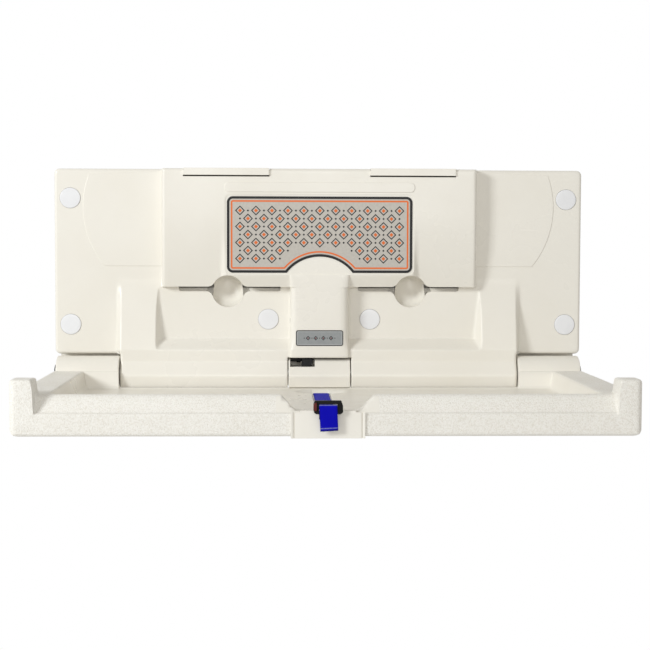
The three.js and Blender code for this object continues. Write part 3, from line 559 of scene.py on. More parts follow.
def readLine(value, line):
    return np.interp(value, line[0], line[1])


def wallBlend(value, points, radii):
    along, height = roundedLine(points, radii)
    return np.interp(value, along, height / max(height))


def roundOff(distance, radius):
    short = np.clip(radius - distance, 0, radius)
    return radius - np.sqrt(np.maximum(radius * radius - short * short, 0))


def softMax(first, second, width):
    share = np.clip(0.5 + 0.5 * (first - second) / width, 0, 1)
    return second * (1 - share) + first * share + width * share * (1 - share)


def eased(value):
    share = np.clip(value, 0, 1)
    return share * share * (3 - 2 * share)


finestCell = 0.3  # a grid line nearer than this to the last is left out
beyond = 400  # past the far end of any line


def mirrored(marks):
    return marks + [(-centre, tuple(-offset for offset in offsets)) for centre, offsets in marks]


# Grid lines that crowd round each mark and fill the rest at a coarse step
def crowdedLines(marks, step):
    lines = sorted({round(centre + offset, 3) for centre, offsets in marks for offset in offsets})
    kept = [lines[0]]
    for line in lines[1:]:
        if line - kept[-1] >= finestCell:
            kept.append(line)
    filled = []
    for low, high in zip(kept, kept[1:]):
        count = max(1, math.ceil((high - low) / step))
        filled += [low + (high - low) * k / count for k in range(count)]
    return np.array(filled + [kept[-1]])


# A closed solid between two surfaces over the kept cells of a grid
def fieldSolid(spec, lines, keep, warp, surface, under, toSpot):
    across, along = np.meshgrid(*lines, indexing="ij")
    middle = lambda grid: (grid[:-1, :-1] + grid[1:, 1:]) / 2
    kept = keep(middle(across), middle(along), spec)
    across, along = warp(across, along, spec)
    levels = (surface(across, along, spec), under(across, along, spec))
    used = np.zeros(across.shape, bool)
    for shiftAcross in (0, 1):
        for shiftAlong in (0, 1):
            used[shiftAcross:kept.shape[0] + shiftAcross, shiftAlong:kept.shape[1] + shiftAlong] |= kept
    number = np.full(across.shape, -1)
    number[used] = np.arange(used.sum())
    total = int(used.sum())
    spots = [spot for level in levels for spot in zip(across[used], along[used], level[used])]
    points = [toSpot(*spot) for spot in spots]
    padded = np.pad(kept, 1)
    faces = []
    for i, j in zip(*np.nonzero(kept)):
        ring = [number[i, j], number[i + 1, j], number[i + 1, j + 1], number[i, j + 1]]
        faces.append([int(k) for k in ring])
        faces.append([int(k) + total for k in reversed(ring)])
        beside = ((i + 1, j), (i + 2, j + 1), (i + 1, j + 2), (i, j + 1))
        for side, (row, column) in enumerate(beside):
            if not padded[row, column]:
                first, second = int(ring[side]), int(ring[(side + 1) % 4])
                faces.append([first, second, second + total, first + total])
    return meshOf("field", points, faces)


# Round a square corner of the grid to a quarter disc
def roundCorner(across, along, radius, cornerAcross, cornerAlong, upward):
    lean = np.clip((np.abs(across) - (cornerAcross - radius)) / radius, 0, 1)
    over = along - (cornerAlong - radius) if upward else (cornerAlong + radius) - along
    rise = np.clip(over / radius, 0, 1)
    near = (lean > 0) & (rise > 0)
    newLean = lean * np.sqrt(1 - rise ** 2 / 2)
    newRise = rise * np.sqrt(1 - lean ** 2 / 2)
    movedAcross = np.sign(across) * (cornerAcross - radius + newLean * radius)
    movedAlong = cornerAlong + (newRise - 1) * radius * (1 if upward else -1)
    return np.where(near, movedAcross, across), np.where(near, movedAlong, along)


squareCorner = 0.01  # a radius too small to see


# How far a point lies inside a rounded box
def boxDistance(across, along, half, low, high, radius):
    overAcross = np.abs(across) - (half - radius)
    overAlong = np.abs(along - (low + high) / 2) - ((high - low) / 2 - radius)
    outside = np.hypot(np.maximum(overAcross, 0), np.maximum(overAlong, 0))
    return radius - outside - np.minimum(np.maximum(overAcross, overAlong), 0)


# Wall panel

panel = {"half": 451, "top": 347, "corner": 9, "edgeRound": 5, "cells": (11, 5.5),
         "flange": {"foot": 31.2, "depth": 38},
         "box": {"half": 267, "depth": 66, "foot": 54, "lip": 181, "bend": 270, "slotTop": 147,
                 "labelLip": 167, "labelLipHalf": 164, "labelFoot": 57.5, "labelRound": 26,
                 "sideRounds": (4, 6), "blend": 3.0, "ledge": (2.2, 2)},
         "wedge": {"half": 338, "draft": 8, "top": 156, "depth": 62, "flatTop": 40,
                   "rounds": (9, 60), "sideRounds": (2.5, 3), "relief": (338.4, 349, 37)},
         "pocket": {"half": 278, "lean": 12, "floor": 40, "foot": 58,
                    "rounds": (4, 1.5), "sideRounds": (3.5, 3), "blend": 12.0},
         "column": {"half": 50, "depth": 68.5, "foot": 26.5, "shoulder": 165, "top": 195, "wall": 4,
                    "sideRounds": (3, 16), "archReach": 30},
         "barrel": {"radius": 25, "crease": 19.2, "ridge": (-4, 71), "chin": (-23.6, 66.6), "axis": 46,
                    "rounds": (2.5, 14), "inner": 54, "gapRound": 2.0, "bore": 10.8, "webDepth": 12,
                    "sweep": 30.2},
         "bin": {"inner": 64, "outer": 242, "back": 12, "front": 62, "top": 338, "footFront": 34,
                 "inside": ((34, 151), (48, 175), (58, 225), (62, 262)),
                 "slotInner": 66, "slotOuter": 240, "slotFoot": 144.4, "slotBack": 16,
                 "grooveFoot": 138.8, "grooveBack": 29,
                 "scoopAt": 156, "scoopUp": 139, "scoopRadius": 27.5, "scoopDepth": 23, "scoopWall": 2.5,
                 "scoopLift": 0.75, "flare": 12, "flareNear": 20},
         "lid": {"inner": 85.1, "outer": 230.9, "floor": 344.2, "rear": 9.1,
                 "beadFront": 16.9, "beadFoot": 341.2,
                 "pivot": (13, 344.5), "pinRadius": 1.8, "pinInner": 78.7, "pinOuter": 237.3,
                 "mouthInner": 92, "mouthOuter": 224, "mouthRear": 19, "mouthFront": 59,
                 "shadowGap": (50, 333.2, 336)},
         "label": {"half": 160.5, "foot": 167.5, "top": 303.5, "corner": 10, "depth": 65},
         "badge": {"half": 40.3, "foot": 46.7, "top": 73.8, "corner": 3, "depth": 67.5},
         "band": {"half": 161, "foot": 307, "top": 324, "corner": 7.5, "rise": 1.2,
                  "near": 60, "soft": 1.0},
         "pad": {"inner": 262, "foot": 181.5, "top": 343.5, "rise": 1.0, "near": 30, "soft": 0.8,
                 "arc": ((389, 346), (402, 274), (366, 181.5))},
         "rearLip": {"inner": 334, "outer": 446, "depth": 4, "foot": -25},
         "caps": {"radius": 17.8, "seat": 2, "places": ((424, 297, 38), (424, 82, 38), (87, 91, 40))},
         "backplate": {"edge": 4.0, "gap": 2.3, "shoulder": 43.6, "inner": 58, "top": 338}}

bothSides = (-1, 1)


def spanOf(side, inner, outer):
    return (inner, outer) if side > 0 else (-outer, -inner)


def panelLines(spec):
    wedge, box, column, barrel = (spec[key] for key in ("wedge", "box", "column", "barrel"))
    edge, foot = (-12, -9, -5, -3.4, -2, -0.9, -0.25, 0), (0, 0.6, 1.6, 3.2)
    lip = (-8, -5, -2.5, 0, 2.5, 5, 8)
    half = [(0, (0,)), (barrel["inner"], foot),
            (column["half"], (-16, -10, -6.5, -4, -2.2, -1, 0, 1, 2.5)),
            (box["labelLipHalf"], (-6, -3, 0, 3, 6)),
            (box["half"], (-13, -8, -5, -3, -1.6, -0.6, 0.4, 1.4, 2.8, 5, 9)),
            (spec["pocket"]["half"], (-20, -17, -15, -13, -11, -9, -7, -5, -3, -1.6, -0.6, 0.4, 1.6, 3)),
            (wedge["half"], (-12, -7, -5, -3.4, -2, -0.9, 0, 1.5, 3.2)),
            (wedge["half"] + wedge["draft"], (-2, 0, 2, 5)), (spec["half"], edge)]
    up = [(-barrel["radius"], (0, 0.35, 0.7, 1.1, 1.5, 2, 2.6, 3.4)),
          (barrel["ridge"][0], (-7, -5, -3.5, -2, -0.7, 0.7, 2, 3.5, 5, 7)),
          (barrel["crease"], (-1.6, -0.5, 0.6, 1.8)), (column["foot"], foot),
          (spec["flange"]["foot"], (-1.5, 0, 0.25, 0.9, 2, 3.4, 5)),
          (wedge["flatTop"], (-1.8, -0.9, 0, 0.9, 1.8)),
          (spec["pocket"]["foot"], (-4, -1, -0.4, 0.4, 1, 4)),
          (box["slotTop"], (-9, -6, -3.5, -2.2, -1.6, -1, -0.5, -0.1, 0.6, 2, 4)),
          (box["labelLip"], lip), (box["lip"], lip), (column["top"], (-6, -3, 0, 3)), (spec["top"], edge)]
    return [crowdedLines(marks, cell) for marks, cell in zip((mirrored(half), up), spec["cells"])]


def panelFront(across, up, spec):
    flange, box, wedge = spec["flange"], spec["box"], spec["wedge"]
    pocket, column, barrel = spec["pocket"], spec["column"], spec["barrel"]
    reach = np.abs(across)
    crease, shelf = (barrel["crease"], wedge["depth"]), (wedge["flatTop"], wedge["depth"])
    under = (-barrel["radius"] - 0.4, barrel["chin"][1] - 9)
    arc = roundedLine([under, barrel["chin"], barrel["ridge"], crease], barrel["rounds"])
    plain = roundedLine([crease, shelf, (wedge["top"], flange["depth"]), (beyond, flange["depth"])],
                        wedge["rounds"])
    sunk = roundedLine([crease, shelf, (pocket["foot"], pocket["floor"]), (beyond, pocket["floor"])],
                       pocket["rounds"])
    plain, sunk = ((np.append(arc[0], line[0]), np.append(arc[1], line[1])) for line in (plain, sunk))

    rise = wedge["depth"] - flange["depth"]
    flank = [(-8, 0), (0, 0), (wedge["draft"], rise), (26, rise)]
    wedgeShare = wallBlend(wedge["half"] + wedge["draft"] - reach, flank, wedge["sideRounds"])
    wedgeShare = np.where(up < flange["foot"], 1.0, wedgeShare)
    lower = flange["depth"] + (readLine(up, plain) - flange["depth"]) * wedgeShare
    flank = [(-200, 0), (0, 0), (pocket["lean"], rise), (beyond, rise * 25)]
    fall = readLine(pocket["half"] - reach, roundedLine(flank, pocket["sideRounds"]))
    lower = np.minimum(lower, softMax(readLine(up, sunk), lower - fall, pocket["blend"]))

    drop = np.clip((box["bend"] - up) / (box["bend"] - box["slotTop"]), 0, 1.2)
    curve = box["depth"] - (box["depth"] - box["foot"]) * drop ** 2
    fallBack = (box["depth"] - box["labelFoot"]) / (box["labelLip"] - box["slotTop"])
    labelLine = [(box["slotTop"] - 40, box["labelFoot"] - 40 * fallBack), (box["labelLip"], box["depth"]),
                 (beyond, box["depth"])]
    label = readLine(up, roundedLine(labelLine, [box["labelRound"]]))
    bulge = wallBlend(box["labelLipHalf"] - reach, [(-10, 0), (-2, 0), (4, 10), (12, 10)], [5, 5])
    front = curve * (1 - bulge) + label * bulge
    boxRise = box["depth"] - flange["depth"]
    flank = [(-12, 0), (-1, 0), (1, boxRise), (16, boxRise)]
    boxShare = wallBlend(box["half"] - reach, flank, box["sideRounds"])
    ledgeDrop, ledgeTall = box["ledge"]
    ledge = eased((up - box["slotTop"] + ledgeDrop) / ledgeTall)
    depth = lower + (softMax(lower, front, box["blend"]) - lower) * boxShare * ledge

    arch = np.clip((up - column["shoulder"]) / (column["top"] - column["shoulder"]), 0, 2)
    rounded = (1 - np.hypot(reach / column["half"], arch)) * column["archReach"]
    inward = np.where(arch > 0, rounded, column["half"] - reach)
    columnRise = column["depth"] - pocket["floor"]
    flank = [(-8, 0), (-0.6, 0), (0.9, columnRise), (40, columnRise)]
    columnShare = wallBlend(inward, flank, column["sideRounds"])
    depth = depth + (np.maximum(depth, column["depth"]) - depth) * columnShare

    flangeEdge = boxDistance(across, up, spec["half"], flange["foot"], spec["top"], spec["corner"])
    skirtEdge = boxDistance(across, up, wedge["half"], -barrel["radius"] - 20, flange["foot"] + 40,
                            squareCorner)
    edge = np.maximum(flangeEdge, skirtEdge)
    gap = np.maximum(reach - barrel["inner"], up - column["foot"])
    return depth - roundOff(edge, spec["edgeRound"]) - roundOff(gap, barrel["gapRound"])


def panelBack(across, up, spec):
    return np.zeros_like(across)  # flat on the wall


def panelKept(across, up, spec):
    inFlange = up > spec["flange"]["foot"]
    inSkirt = np.abs(across) < spec["wedge"]["half"]
    inGap = (np.abs(across) < spec["barrel"]["inner"]) & (up < spec["column"]["foot"])
    return (inFlange | inSkirt) & ~inGap


def panelWarp(across, up, spec):
    across, up = roundCorner(across, up, spec["corner"], spec["half"], spec["top"], True)
    return roundCorner(across, up, spec["corner"], spec["half"], spec["flange"]["foot"], False)


def buildPanel(spec):
    mesh = fieldSolid(spec, panelLines(spec), panelKept, panelWarp, panelFront, panelBack,
                      lambda across, up, forward: toPoint(across, forward, up))
    piece = newPiece("wallPanelSkin", mesh, "smoothCream")
    barrel, column, back = spec["barrel"], spec["column"], spec["backplate"]
    join(piece, blockMesh((-barrel["inner"] - 1, barrel["inner"] + 1), (0, barrel["webDepth"]),
                          (-barrel["radius"], column["foot"] + 1)))
    carve(piece, rodMesh(barrel["sweep"], -barrel["inner"], barrel["inner"], barrel["axis"], 0, 64),
          rodMesh(barrel["bore"], -spec["half"], spec["half"], barrel["axis"], 0, 40))
    inside = column["half"] - column["wall"]
    carve(piece, blockMesh((-inside, inside), (back["gap"], column["depth"] - column["wall"]),
                           (column["foot"] - 8, column["shoulder"])))
    plateHalf = spec["half"] - back["edge"]
    carve(piece, blockMesh((-plateHalf, plateHalf), (-1, back["gap"]), (back["shoulder"], back["top"])))
    pad, lip, band = spec["pad"], spec["rearLip"], spec["band"]
    for side in bothSides:
        join(piece, blockMesh(spanOf(side, lip["inner"], lip["outer"]), (0, lip["depth"]),
                              (lip["foot"], spec["flange"]["foot"] + 2)))
        arc = [(side * x, z) for x, z in arcThrough(*pad["arc"]) if z < pad["top"]]
        outline = [(side * pad["inner"], pad["foot"]), (side * pad["inner"], pad["top"])] + arc
        join(piece, softPrism(outline, pad["near"], spec["flange"]["depth"] + pad["rise"], pad["soft"]))
        carvePanelSide(piece, spec, side)
    bandFar = spec["box"]["depth"] + band["rise"]
    join(piece, softPrism(plateShape(band), band["near"], bandFar, band["soft"]))
    for seat in (spec["label"], spec["badge"]):
        carve(piece, prismMesh(plateShape(seat), seat["depth"], seat["depth"] + 30))
    smoothFaces(piece)
    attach(piece, "wall_unit")
    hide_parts("wall_panel")
    return piece


# A closed finger dish at the slot's middle, flared into the slot on both sides
def carveScoop(piece, spec, centre, bowlSteps=12, ringSteps=56, flareSteps=8):
    bins, floor = spec["bin"], spec["pocket"]["floor"]
    radius, flare, middle = bins["scoopRadius"], bins["flare"], bins["scoopUp"]
    turns = [math.pi / 2 * step / bowlSteps for step in range(bowlSteps + 1)]
    bowl = lambda grow: [((radius + grow) * math.sin(turn), -math.cos(turn) * (bins["scoopDepth"] + grow))
                         for turn in turns]
    lifts = [bins["scoopLift"] * radius * (1 - math.sin(turn)) for turn in turns]
    shell = turnedMesh(bowl(bins["scoopWall"]), (centre, floor - 2, middle), "forward", ringSteps, lifts)
    join(piece, shell)
    dish = turnedMesh(bowl(0) + [(radius, 30)], (centre, floor, middle), "forward", ringSteps, lifts + [0])
    carve(piece, dish)
    for hand in bothSides:
        outline = []
        for line, above in ((spec["box"]["slotTop"] - middle, 1), (bins["grooveFoot"] - middle, -1)):
            high = line + above * flare
            out = math.sqrt((radius + flare) ** 2 - high ** 2)
            start, end = -above * math.pi / 2, math.atan2(-high, -out)
            sweep = (end - start + math.pi) % (2 * math.pi) - math.pi
            angles = [start + sweep * step / flareSteps for step in range(flareSteps + 1)]
            arc = [(centre + hand * (out + flare * math.cos(angle)), middle + high + flare * math.sin(angle))
                   for angle in angles]
            outline += arc if above > 0 else arc[::-1]
        carve(piece, prismMesh(outline, bins["flareNear"], spec["box"]["depth"] + 4))


def carvePanelSide(piece, spec, side):
    box, bins, lid, back = spec["box"], spec["bin"], spec["lid"], spec["backplate"]
    ahead, above = box["depth"] + 4, spec["top"] + 2  # clear of the face and of the top
    backSpan = spanOf(side, back["inner"], spec["wedge"]["half"] - back["edge"])
    carve(piece, blockMesh(backSpan, (-1, back["gap"]),
                           (back["edge"] - spec["barrel"]["radius"], back["shoulder"] + 1)))
    profile = [(bins["back"], bins["top"]), (bins["back"], bins["slotFoot"]),
               (bins["footFront"], bins["slotFoot"]), *bins["inside"], (bins["front"], bins["top"])]
    carve(piece, barMesh(profile, *spanOf(side, bins["inner"], bins["outer"])))
    left, right = spanOf(side, bins["slotInner"], bins["slotOuter"])
    for cut in ("slot", "groove"):
        foot = bins[cut + "Foot"]
        outline = roundedOutline(left, foot, right, box["slotTop"], (box["slotTop"] - foot) / 2 - 0.05)
        carve(piece, prismMesh(outline, bins[cut + "Back"], ahead))
    carveScoop(piece, spec, side * bins["scoopAt"])
    lidSpan = spanOf(side, lid["inner"], lid["outer"])
    mouthSpan = spanOf(side, lid["mouthInner"], lid["mouthOuter"])
    carve(piece, blockMesh(lidSpan, (lid["rear"], ahead), (lid["floor"], above)),
          blockMesh(lidSpan, (lid["rear"], lid["beadFront"]), (lid["beadFoot"], lid["floor"] + 1)),
          blockMesh(lidSpan, (lid["shadowGap"][0], ahead), lid["shadowGap"][1:]),
          rodMesh(lid["pinRadius"], *spanOf(side, lid["pinInner"], lid["pinOuter"]), *lid["pivot"], 16),
          blockMesh(mouthSpan, (lid["mouthRear"], lid["mouthFront"]), (bins["top"] - 1, lid["floor"] + 1)))
    inner, outer, height = spec["wedge"]["relief"]  # the folded tray's rear wall comes to rest here
    carve(piece, blockMesh(spanOf(side, inner, outer), (spec["flange"]["depth"] + 0.6, 80), (0, height)))
    seat, radius = spec["caps"]["seat"], spec["caps"]["radius"]
    for across, up, face in spec["caps"]["places"]:
        profile = [(0, -seat), (radius, -seat), (radius, 3), (0, 3)]
        carve(piece, turnedMesh(profile, (side * across, face, up), "forward"))


panelPiece = buildPanel(panel)
print("wall panel built:", len(panelPiece.data.polygons), "faces")

# Tray

tray = {"half": 451, "reach": 430, "rear": 28, "heel": 16, "bottom": -54, "hinge": 46, "cells": (12, 12),
        "rim": 4.5, "rimBack": 410, "step": (424, -20.2), "rimRounds": (12, 1), "ledge": -19,
        "frontCorner": 10, "lowerRound": 13, "frontRound": 6, "topRound": 5, "rearRound": 1.0,
        "bed": {"half": 398, "front": 400, "rear": 31.5, "floor": -25, "draft": 6, "corner": 18,
                "rounds": (6, 9)},
        "post": {"inner": 417.5, "rear": 388, "top": 27, "rounds": (3, 5)},
        "notch": {"foot": 48, "top": 66, "reach": 80, "rounds": (20, 20)},
        "channel": {"half": 15, "depth": 2, "rear": 44, "front": 394, "fade": 6},
        "dip": {"half": 46, "at": 78, "reach": 34, "depth": 12, "slope": 0.55},
        "rearLip": {"rise": 2, "start": 44, "end": 33, "inner": 50, "fade": 1.5},
        "knuckle": {"side": 28.5, "soft": 2.5, "inner": 339.5, "outer": 446, "room": 0.2, "bore": 10.8,
                    "centre": 26, "centreHalf": 52.5, "centreSoft": 1.6, "webFront": 36,
                    "ridge": (-4, 25.6), "chin": (-24, 21.6), "noseRounds": (2.5, 14),
                    "notch": (-50, -8), "notchUp": 11},
        "base": {"half": 436.3, "rear": 35.7, "front": 414.3, "top": -50.7}}
wayBack = -600  # far behind the tray, so that a box has no rear edge


def trayLines(spec):
    bed, post, notch, knuckle = (spec[key] for key in ("bed", "post", "notch", "knuckle"))
    postWall = (-9, -5, -3.4, -2.4, -1.8, -1.4, -0.9, -0.3, 0.3, 0.8, 1.3, 2, 3, 4.4, 6.5)
    half = [(0, (0,)), (spec["channel"]["half"], (-3, -1, 1, 3)),
            (notch["foot"], (-10, -7.5, -5, -2.5, 0, 2, 4, 6, 8, 10)),
            (notch["top"], (0, 2, 4, 6, 8, 10, 13)), (spec["rearLip"]["inner"], (0, 1.5)),
            (knuckle["inner"], (-2.4, -1, -0.8, -0.5, -0.2, 0, 1.5)),
            (bed["half"], (-34, -26, -19, -13, -9, -6.5, -4.5, -2.5, -1, 0.5, 2, 4)),
            (post["inner"], postWall), (spec["half"], (-17, -13, -9, -6, -3.6, -1.9, -0.7, 0))]
    along = [(spec["heel"], (0, 0.5, 1.5, 3)), (spec["rear"], (0, 0.5, 1.5)),
             (bed["rear"], (-1, 0.5, 2, 4, 6, 9)), (spec["rearLip"]["start"], (-9, -7, -5, -3, 0)),
             (spec["dip"]["at"], (-34, -28, -22, -16, -10, 0, 10, 16, 22, 28, 34)),
             (post["rear"], postWall), (bed["front"], (-24, -18, -9, -6.5, -4.5, -2.5, -1, 0.5, 2)),
             (spec["rimBack"], (-5, -2.5, 0, 2.5, 5)),
             (spec["reach"], (-14, -10, -7, -6.4, -5.9, -5.4, -4.6, -3.6, -2.6, -1.6, -0.7, 0))]
    return [crowdedLines(marks, cell) for marks, cell in zip((mirrored(half), along), spec["cells"])]


def bedDistance(across, along, spec):
    bed, knuckle = spec["bed"], spec["knuckle"]
    inside = boxDistance(across, along, bed["half"], wayBack, bed["front"], bed["corner"])
    clear = (knuckle["inner"] - knuckle["room"] - np.abs(across)) * 8
    return np.minimum(inside, np.maximum(along - bed["rear"], clear))


def trayTop(across, along, spec):
    bed, post, notch = spec["bed"], spec["post"], spec["notch"]
    channel, dip, lip = spec["channel"], spec["dip"], spec["rearLip"]
    reach = np.abs(across)
    rimLine = [(0, spec["rim"]), (spec["rimBack"], spec["rim"]), spec["step"],
               (spec["reach"] + 10, spec["step"][1] - 0.8)]
    rim = readLine(along, roundedLine(rimLine, spec["rimRounds"]))
    deep = spec["rim"] - bed["floor"]
    wall = [(-14, 0), (0, 0), (bed["draft"], deep), (40, deep)]
    share = wallBlend(bedDistance(across, along, spec), wall, bed["rounds"])
    groove = wallBlend(channel["half"] - reach, [(-4, 0), (-1, 0), (1, 2), (6, 2)], [1, 1])
    groove = groove * np.clip((along - channel["rear"]) / channel["fade"], 0, 1)
    groove = groove * np.clip((channel["front"] - along) / channel["fade"], 0, 1)
    bowl = eased((1 - np.hypot(across / dip["half"], (along - dip["at"]) / dip["reach"])) / dip["slope"])
    floor = bed["floor"] - groove * channel["depth"] * (1 - bowl) - bowl * dip["depth"]
    curl = eased((lip["start"] - along) / (lip["start"] - lip["end"]))
    floor = floor + lip["rise"] * curl * np.clip((reach - lip["inner"]) / lip["fade"], 0, 1)
    top = rim + (np.minimum(rim, floor) - rim) * share
    shoulder = spec["rim"] + 0.5
    notchLine = [(0, spec["ledge"]), (notch["foot"], spec["ledge"]), (notch["top"], shoulder),
                 (beyond, shoulder)]
    cut = readLine(reach, roundedLine(notchLine, notch["rounds"]))
    top = np.minimum(top, np.where(reach < notch["reach"], cut, beyond))
    inward = np.minimum(reach - post["inner"], along - post["rear"])
    rise = post["top"] - spec["rim"]
    postShare = wallBlend(inward, [(-16, 0), (-1.4, 0), (0.8, rise), (16, rise)], post["rounds"])
    top = top + (np.maximum(top, post["top"]) - top) * postShare
    outer = boxDistance(across, along, spec["half"], wayBack, spec["reach"], spec["frontCorner"])
    rear = np.where(reach < spec["knuckle"]["inner"], along - spec["rear"], along - spec["heel"])
    return top - roundOff(outer, spec["topRound"]) - roundOff(rear, spec["rearRound"])


def trayUnder(across, along, spec):
    side = roundOff(spec["half"] - np.abs(across), spec["lowerRound"])
    ahead = boxDistance(across, along, spec["half"] + 30, wayBack, spec["reach"], squareCorner)
    return spec["bottom"] + np.maximum(side, roundOff(ahead, spec["frontRound"]))


def trayKept(across, along, spec):
    return (along > spec["rear"]) | (np.abs(across) > spec["knuckle"]["inner"])


def trayWarp(across, along, spec):
    return roundCorner(across, along, spec["frontCorner"], spec["half"], spec["reach"], True)


# The centre knuckle: round above and behind, faceted in front as the barrels are
def noseOutline(knuckle, hinge):
    radius = knuckle["centre"]
    angles = np.radians(np.arange(52, 271, 6))
    back = [(radius * math.cos(angle), radius * math.sin(angle)) for angle in angles]
    nose = [(-radius, 8), knuckle["chin"], knuckle["ridge"], back[0][::-1]]
    front = [(along, up) for up, along in zip(*roundedLine(nose, knuckle["noseRounds"]))][:-1]
    return [(hinge + along, up) for along, up in back + front]


def buildTray(spec):
    hinge, knuckle, base = spec["hinge"], spec["knuckle"], spec["base"]
    mesh = fieldSolid(spec, trayLines(spec), trayKept, trayWarp, trayTop, trayUnder,
                      lambda across, along, up: toPoint(across, hinge + along, up))
    piece = newPiece("trayShellSkin", mesh, "smoothCream", "speckledCream")
    for side in bothSides:
        left, right = spanOf(side, knuckle["inner"], knuckle["outer"])
        join(piece, rodMesh(knuckle["side"], left, right, hinge, 0, 72, knuckle["soft"]))
    centreSpan = (-knuckle["centreHalf"], knuckle["centreHalf"])
    join(piece, softPrism(noseOutline(knuckle, hinge), *centreSpan, knuckle["centreSoft"], True,
                          lambda forward, across, up: toPoint(across, forward, up)))
    join(piece, blockMesh(centreSpan, (hinge, hinge + knuckle["webFront"]),
                          (spec["bottom"], spec["bed"]["floor"])))
    carve(piece, blockMesh(knuckle["notch"], (hinge - 60, hinge + 60), (knuckle["notchUp"], 60)))
    carve(piece, rodMesh(knuckle["bore"], -spec["half"] - 5, spec["half"] + 5, hinge, 0, 40))
    carve(piece, blockMesh((-base["half"], base["half"]), (hinge + base["rear"], hinge + base["front"]),
                           (-80, base["top"])))
    speckle(piece, spec)
    smoothFaces(piece)
    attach(piece, "tray")
    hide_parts("tray_shell")
    return piece


# The outer and front faces are speckled; the bed, the hinge and the middle of the rim stay smooth
def speckle(piece, spec):
    mesh = piece.data
    centres = np.array([face.center[:] for face in mesh.polygons]) / mm
    across, along, up = centres[:, 0], -centres[:, 1] - spec["hinge"], centres[:, 2]
    smooth = (bedDistance(across, along, spec) > -0.5) & (up < spec["rim"] - 1)
    smooth |= (along < spec["bed"]["rear"]) | (up < spec["bottom"] + 1)
    inNotch = (np.abs(across) < spec["notch"]["top"] + 7)
    inNotch &= (up < spec["rim"] - 2) & (up > spec["ledge"] - 1.5)
    smooth |= inNotch & (along > spec["bed"]["front"] - 20)
    mesh.polygons.foreach_set("material_index", np.where(smooth, 0, 1).astype(np.int32))


trayPiece = buildTray(tray)
print("tray built:", len(trayPiece.data.polygons), "faces")

# Small parts: softened copies of their solids, and solids that only need a finish


def stand(piece, body, *nodes):
    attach(piece, body)
    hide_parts(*nodes)
    return piece


partAngle = 40  # edges of small parts sharper than this stay crisp
weldGap, flatAngle = 2e-6, 1.0  # metres and degrees within which points and faces are merged


def softShape(node, name, finish, width, steps=3, angle=30):
    mesh = frame["nodes"][node].data.copy()
    work = bmesh.new()
    work.from_mesh(mesh)
    bmesh.ops.remove_doubles(work, verts=work.verts, dist=weldGap)
    bmesh.ops.dissolve_limit(work, angle_limit=math.radians(flatAngle), verts=work.verts, edges=work.edges)
    folds = [edge for edge in work.edges if len(edge.link_faces) == 2]
    sharp = [edge for edge in folds if edge.calc_face_angle(0) > math.radians(angle)]
    bmesh.ops.bevel(work, geom=sharp, offset=width * mm, segments=steps, profile=0.5, affect="EDGES",
                    clamp_overlap=True)
    work.to_mesh(mesh)
    work.free()
    piece = newPiece(name, mesh, finish)
    smoothFaces(piece, partAngle)
    return piece


softParts = {"liner_lid_left": ("linerLidLeft", "smoothCream", 0.9),
             "liner_lid_right": ("linerLidRight", "smoothCream", 0.9),
             "crank_block": ("crankBlock", "blackCoat", 0.7),
             "buckle_tab": ("buckleTab", "buckleBlack", 0.3),
             "strap_anchor": ("strapAnchor", "zincPlate", 0.5),
             "spring_bracket": ("springBracket", "zincPlate", 0.4)}
for node, (name, finish, width) in softParts.items():
    stand(softShape(node, name, finish, width), frame["nodes"][node]["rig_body"], node)

plainNodes = {"smoothCream": ("tray_base",),
              "zincPlate": ("backplate", "hinge_rod", "barrel_sleeve_left", "barrel_sleeve_right",
                            "tray_sleeve_left", "tray_sleeve_centre", "tray_sleeve_right", "lid_pin_left",
                            "lid_pin_right", "spring_pin", "gas_spring_gland", "anchor_screw_left",
                            "anchor_screw_right"),
              "blackCoat": ("gas_spring_cylinder", "crank_pin")}
for finish, names in plainNodes.items():
    for node in names:
        frame["nodes"][node].material_slots[0].material = finishes[finish]

# The spring's rod is chromed, its eye end painted black
eyeTall = 13
rodPiece = softShape("gas_spring_rod", "gasSpringRod", "hardChrome", 0.3)
rodPiece.data.materials.append(finishes["blackCoat"])
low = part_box("gas_spring_rod")[0][2]
for face in rodPiece.data.polygons:
    face.material_index = 1 if face.center[2] < low + eyeTall * mm else 0
stand(rodPiece, "spring_rod", "gas_spring_rod")
print("small parts softened:", len(softParts) + 1)

# Push-on caps of the hinge rod: a turned skirt with a low crown
rodCaps = {"inner": 446.3, "axis": (46, 0), "steps": 40,
           "profile": ((0, 0), (13.4, 0), (14.2, 0.6), (14.2, 2.2), (13.2, 3.4), (9.5, 4.2), (0, 4.4))}


def buildRodCaps(spec):
    for side, hand in zip(bothSides, ("Left", "Right")):
        profile = [(radius, side * along) for radius, along in spec["profile"]]
        mesh = turnedMesh(profile, (side * spec["inner"], *spec["axis"]), "across", spec["steps"])
        cap = newPiece("rodCap" + hand, mesh, "buckleBlack")
        smoothFaces(cap, partAngle)
        stand(cap, "wall_unit", "rod_cap_" + hand.lower())


buildRodCaps(rodCaps)

# Screw caps: one turned cap, set out by a node tree

caps = {"size": 1.0, "steps": 64,
        "profile": ((0, -1.9), (17.4, -1.9), (17.4, 0.5), (17.1, 1.0), (16.3, 1.25), (14.5, 1.36),
                    (9, 1.45), (0, 1.5))}


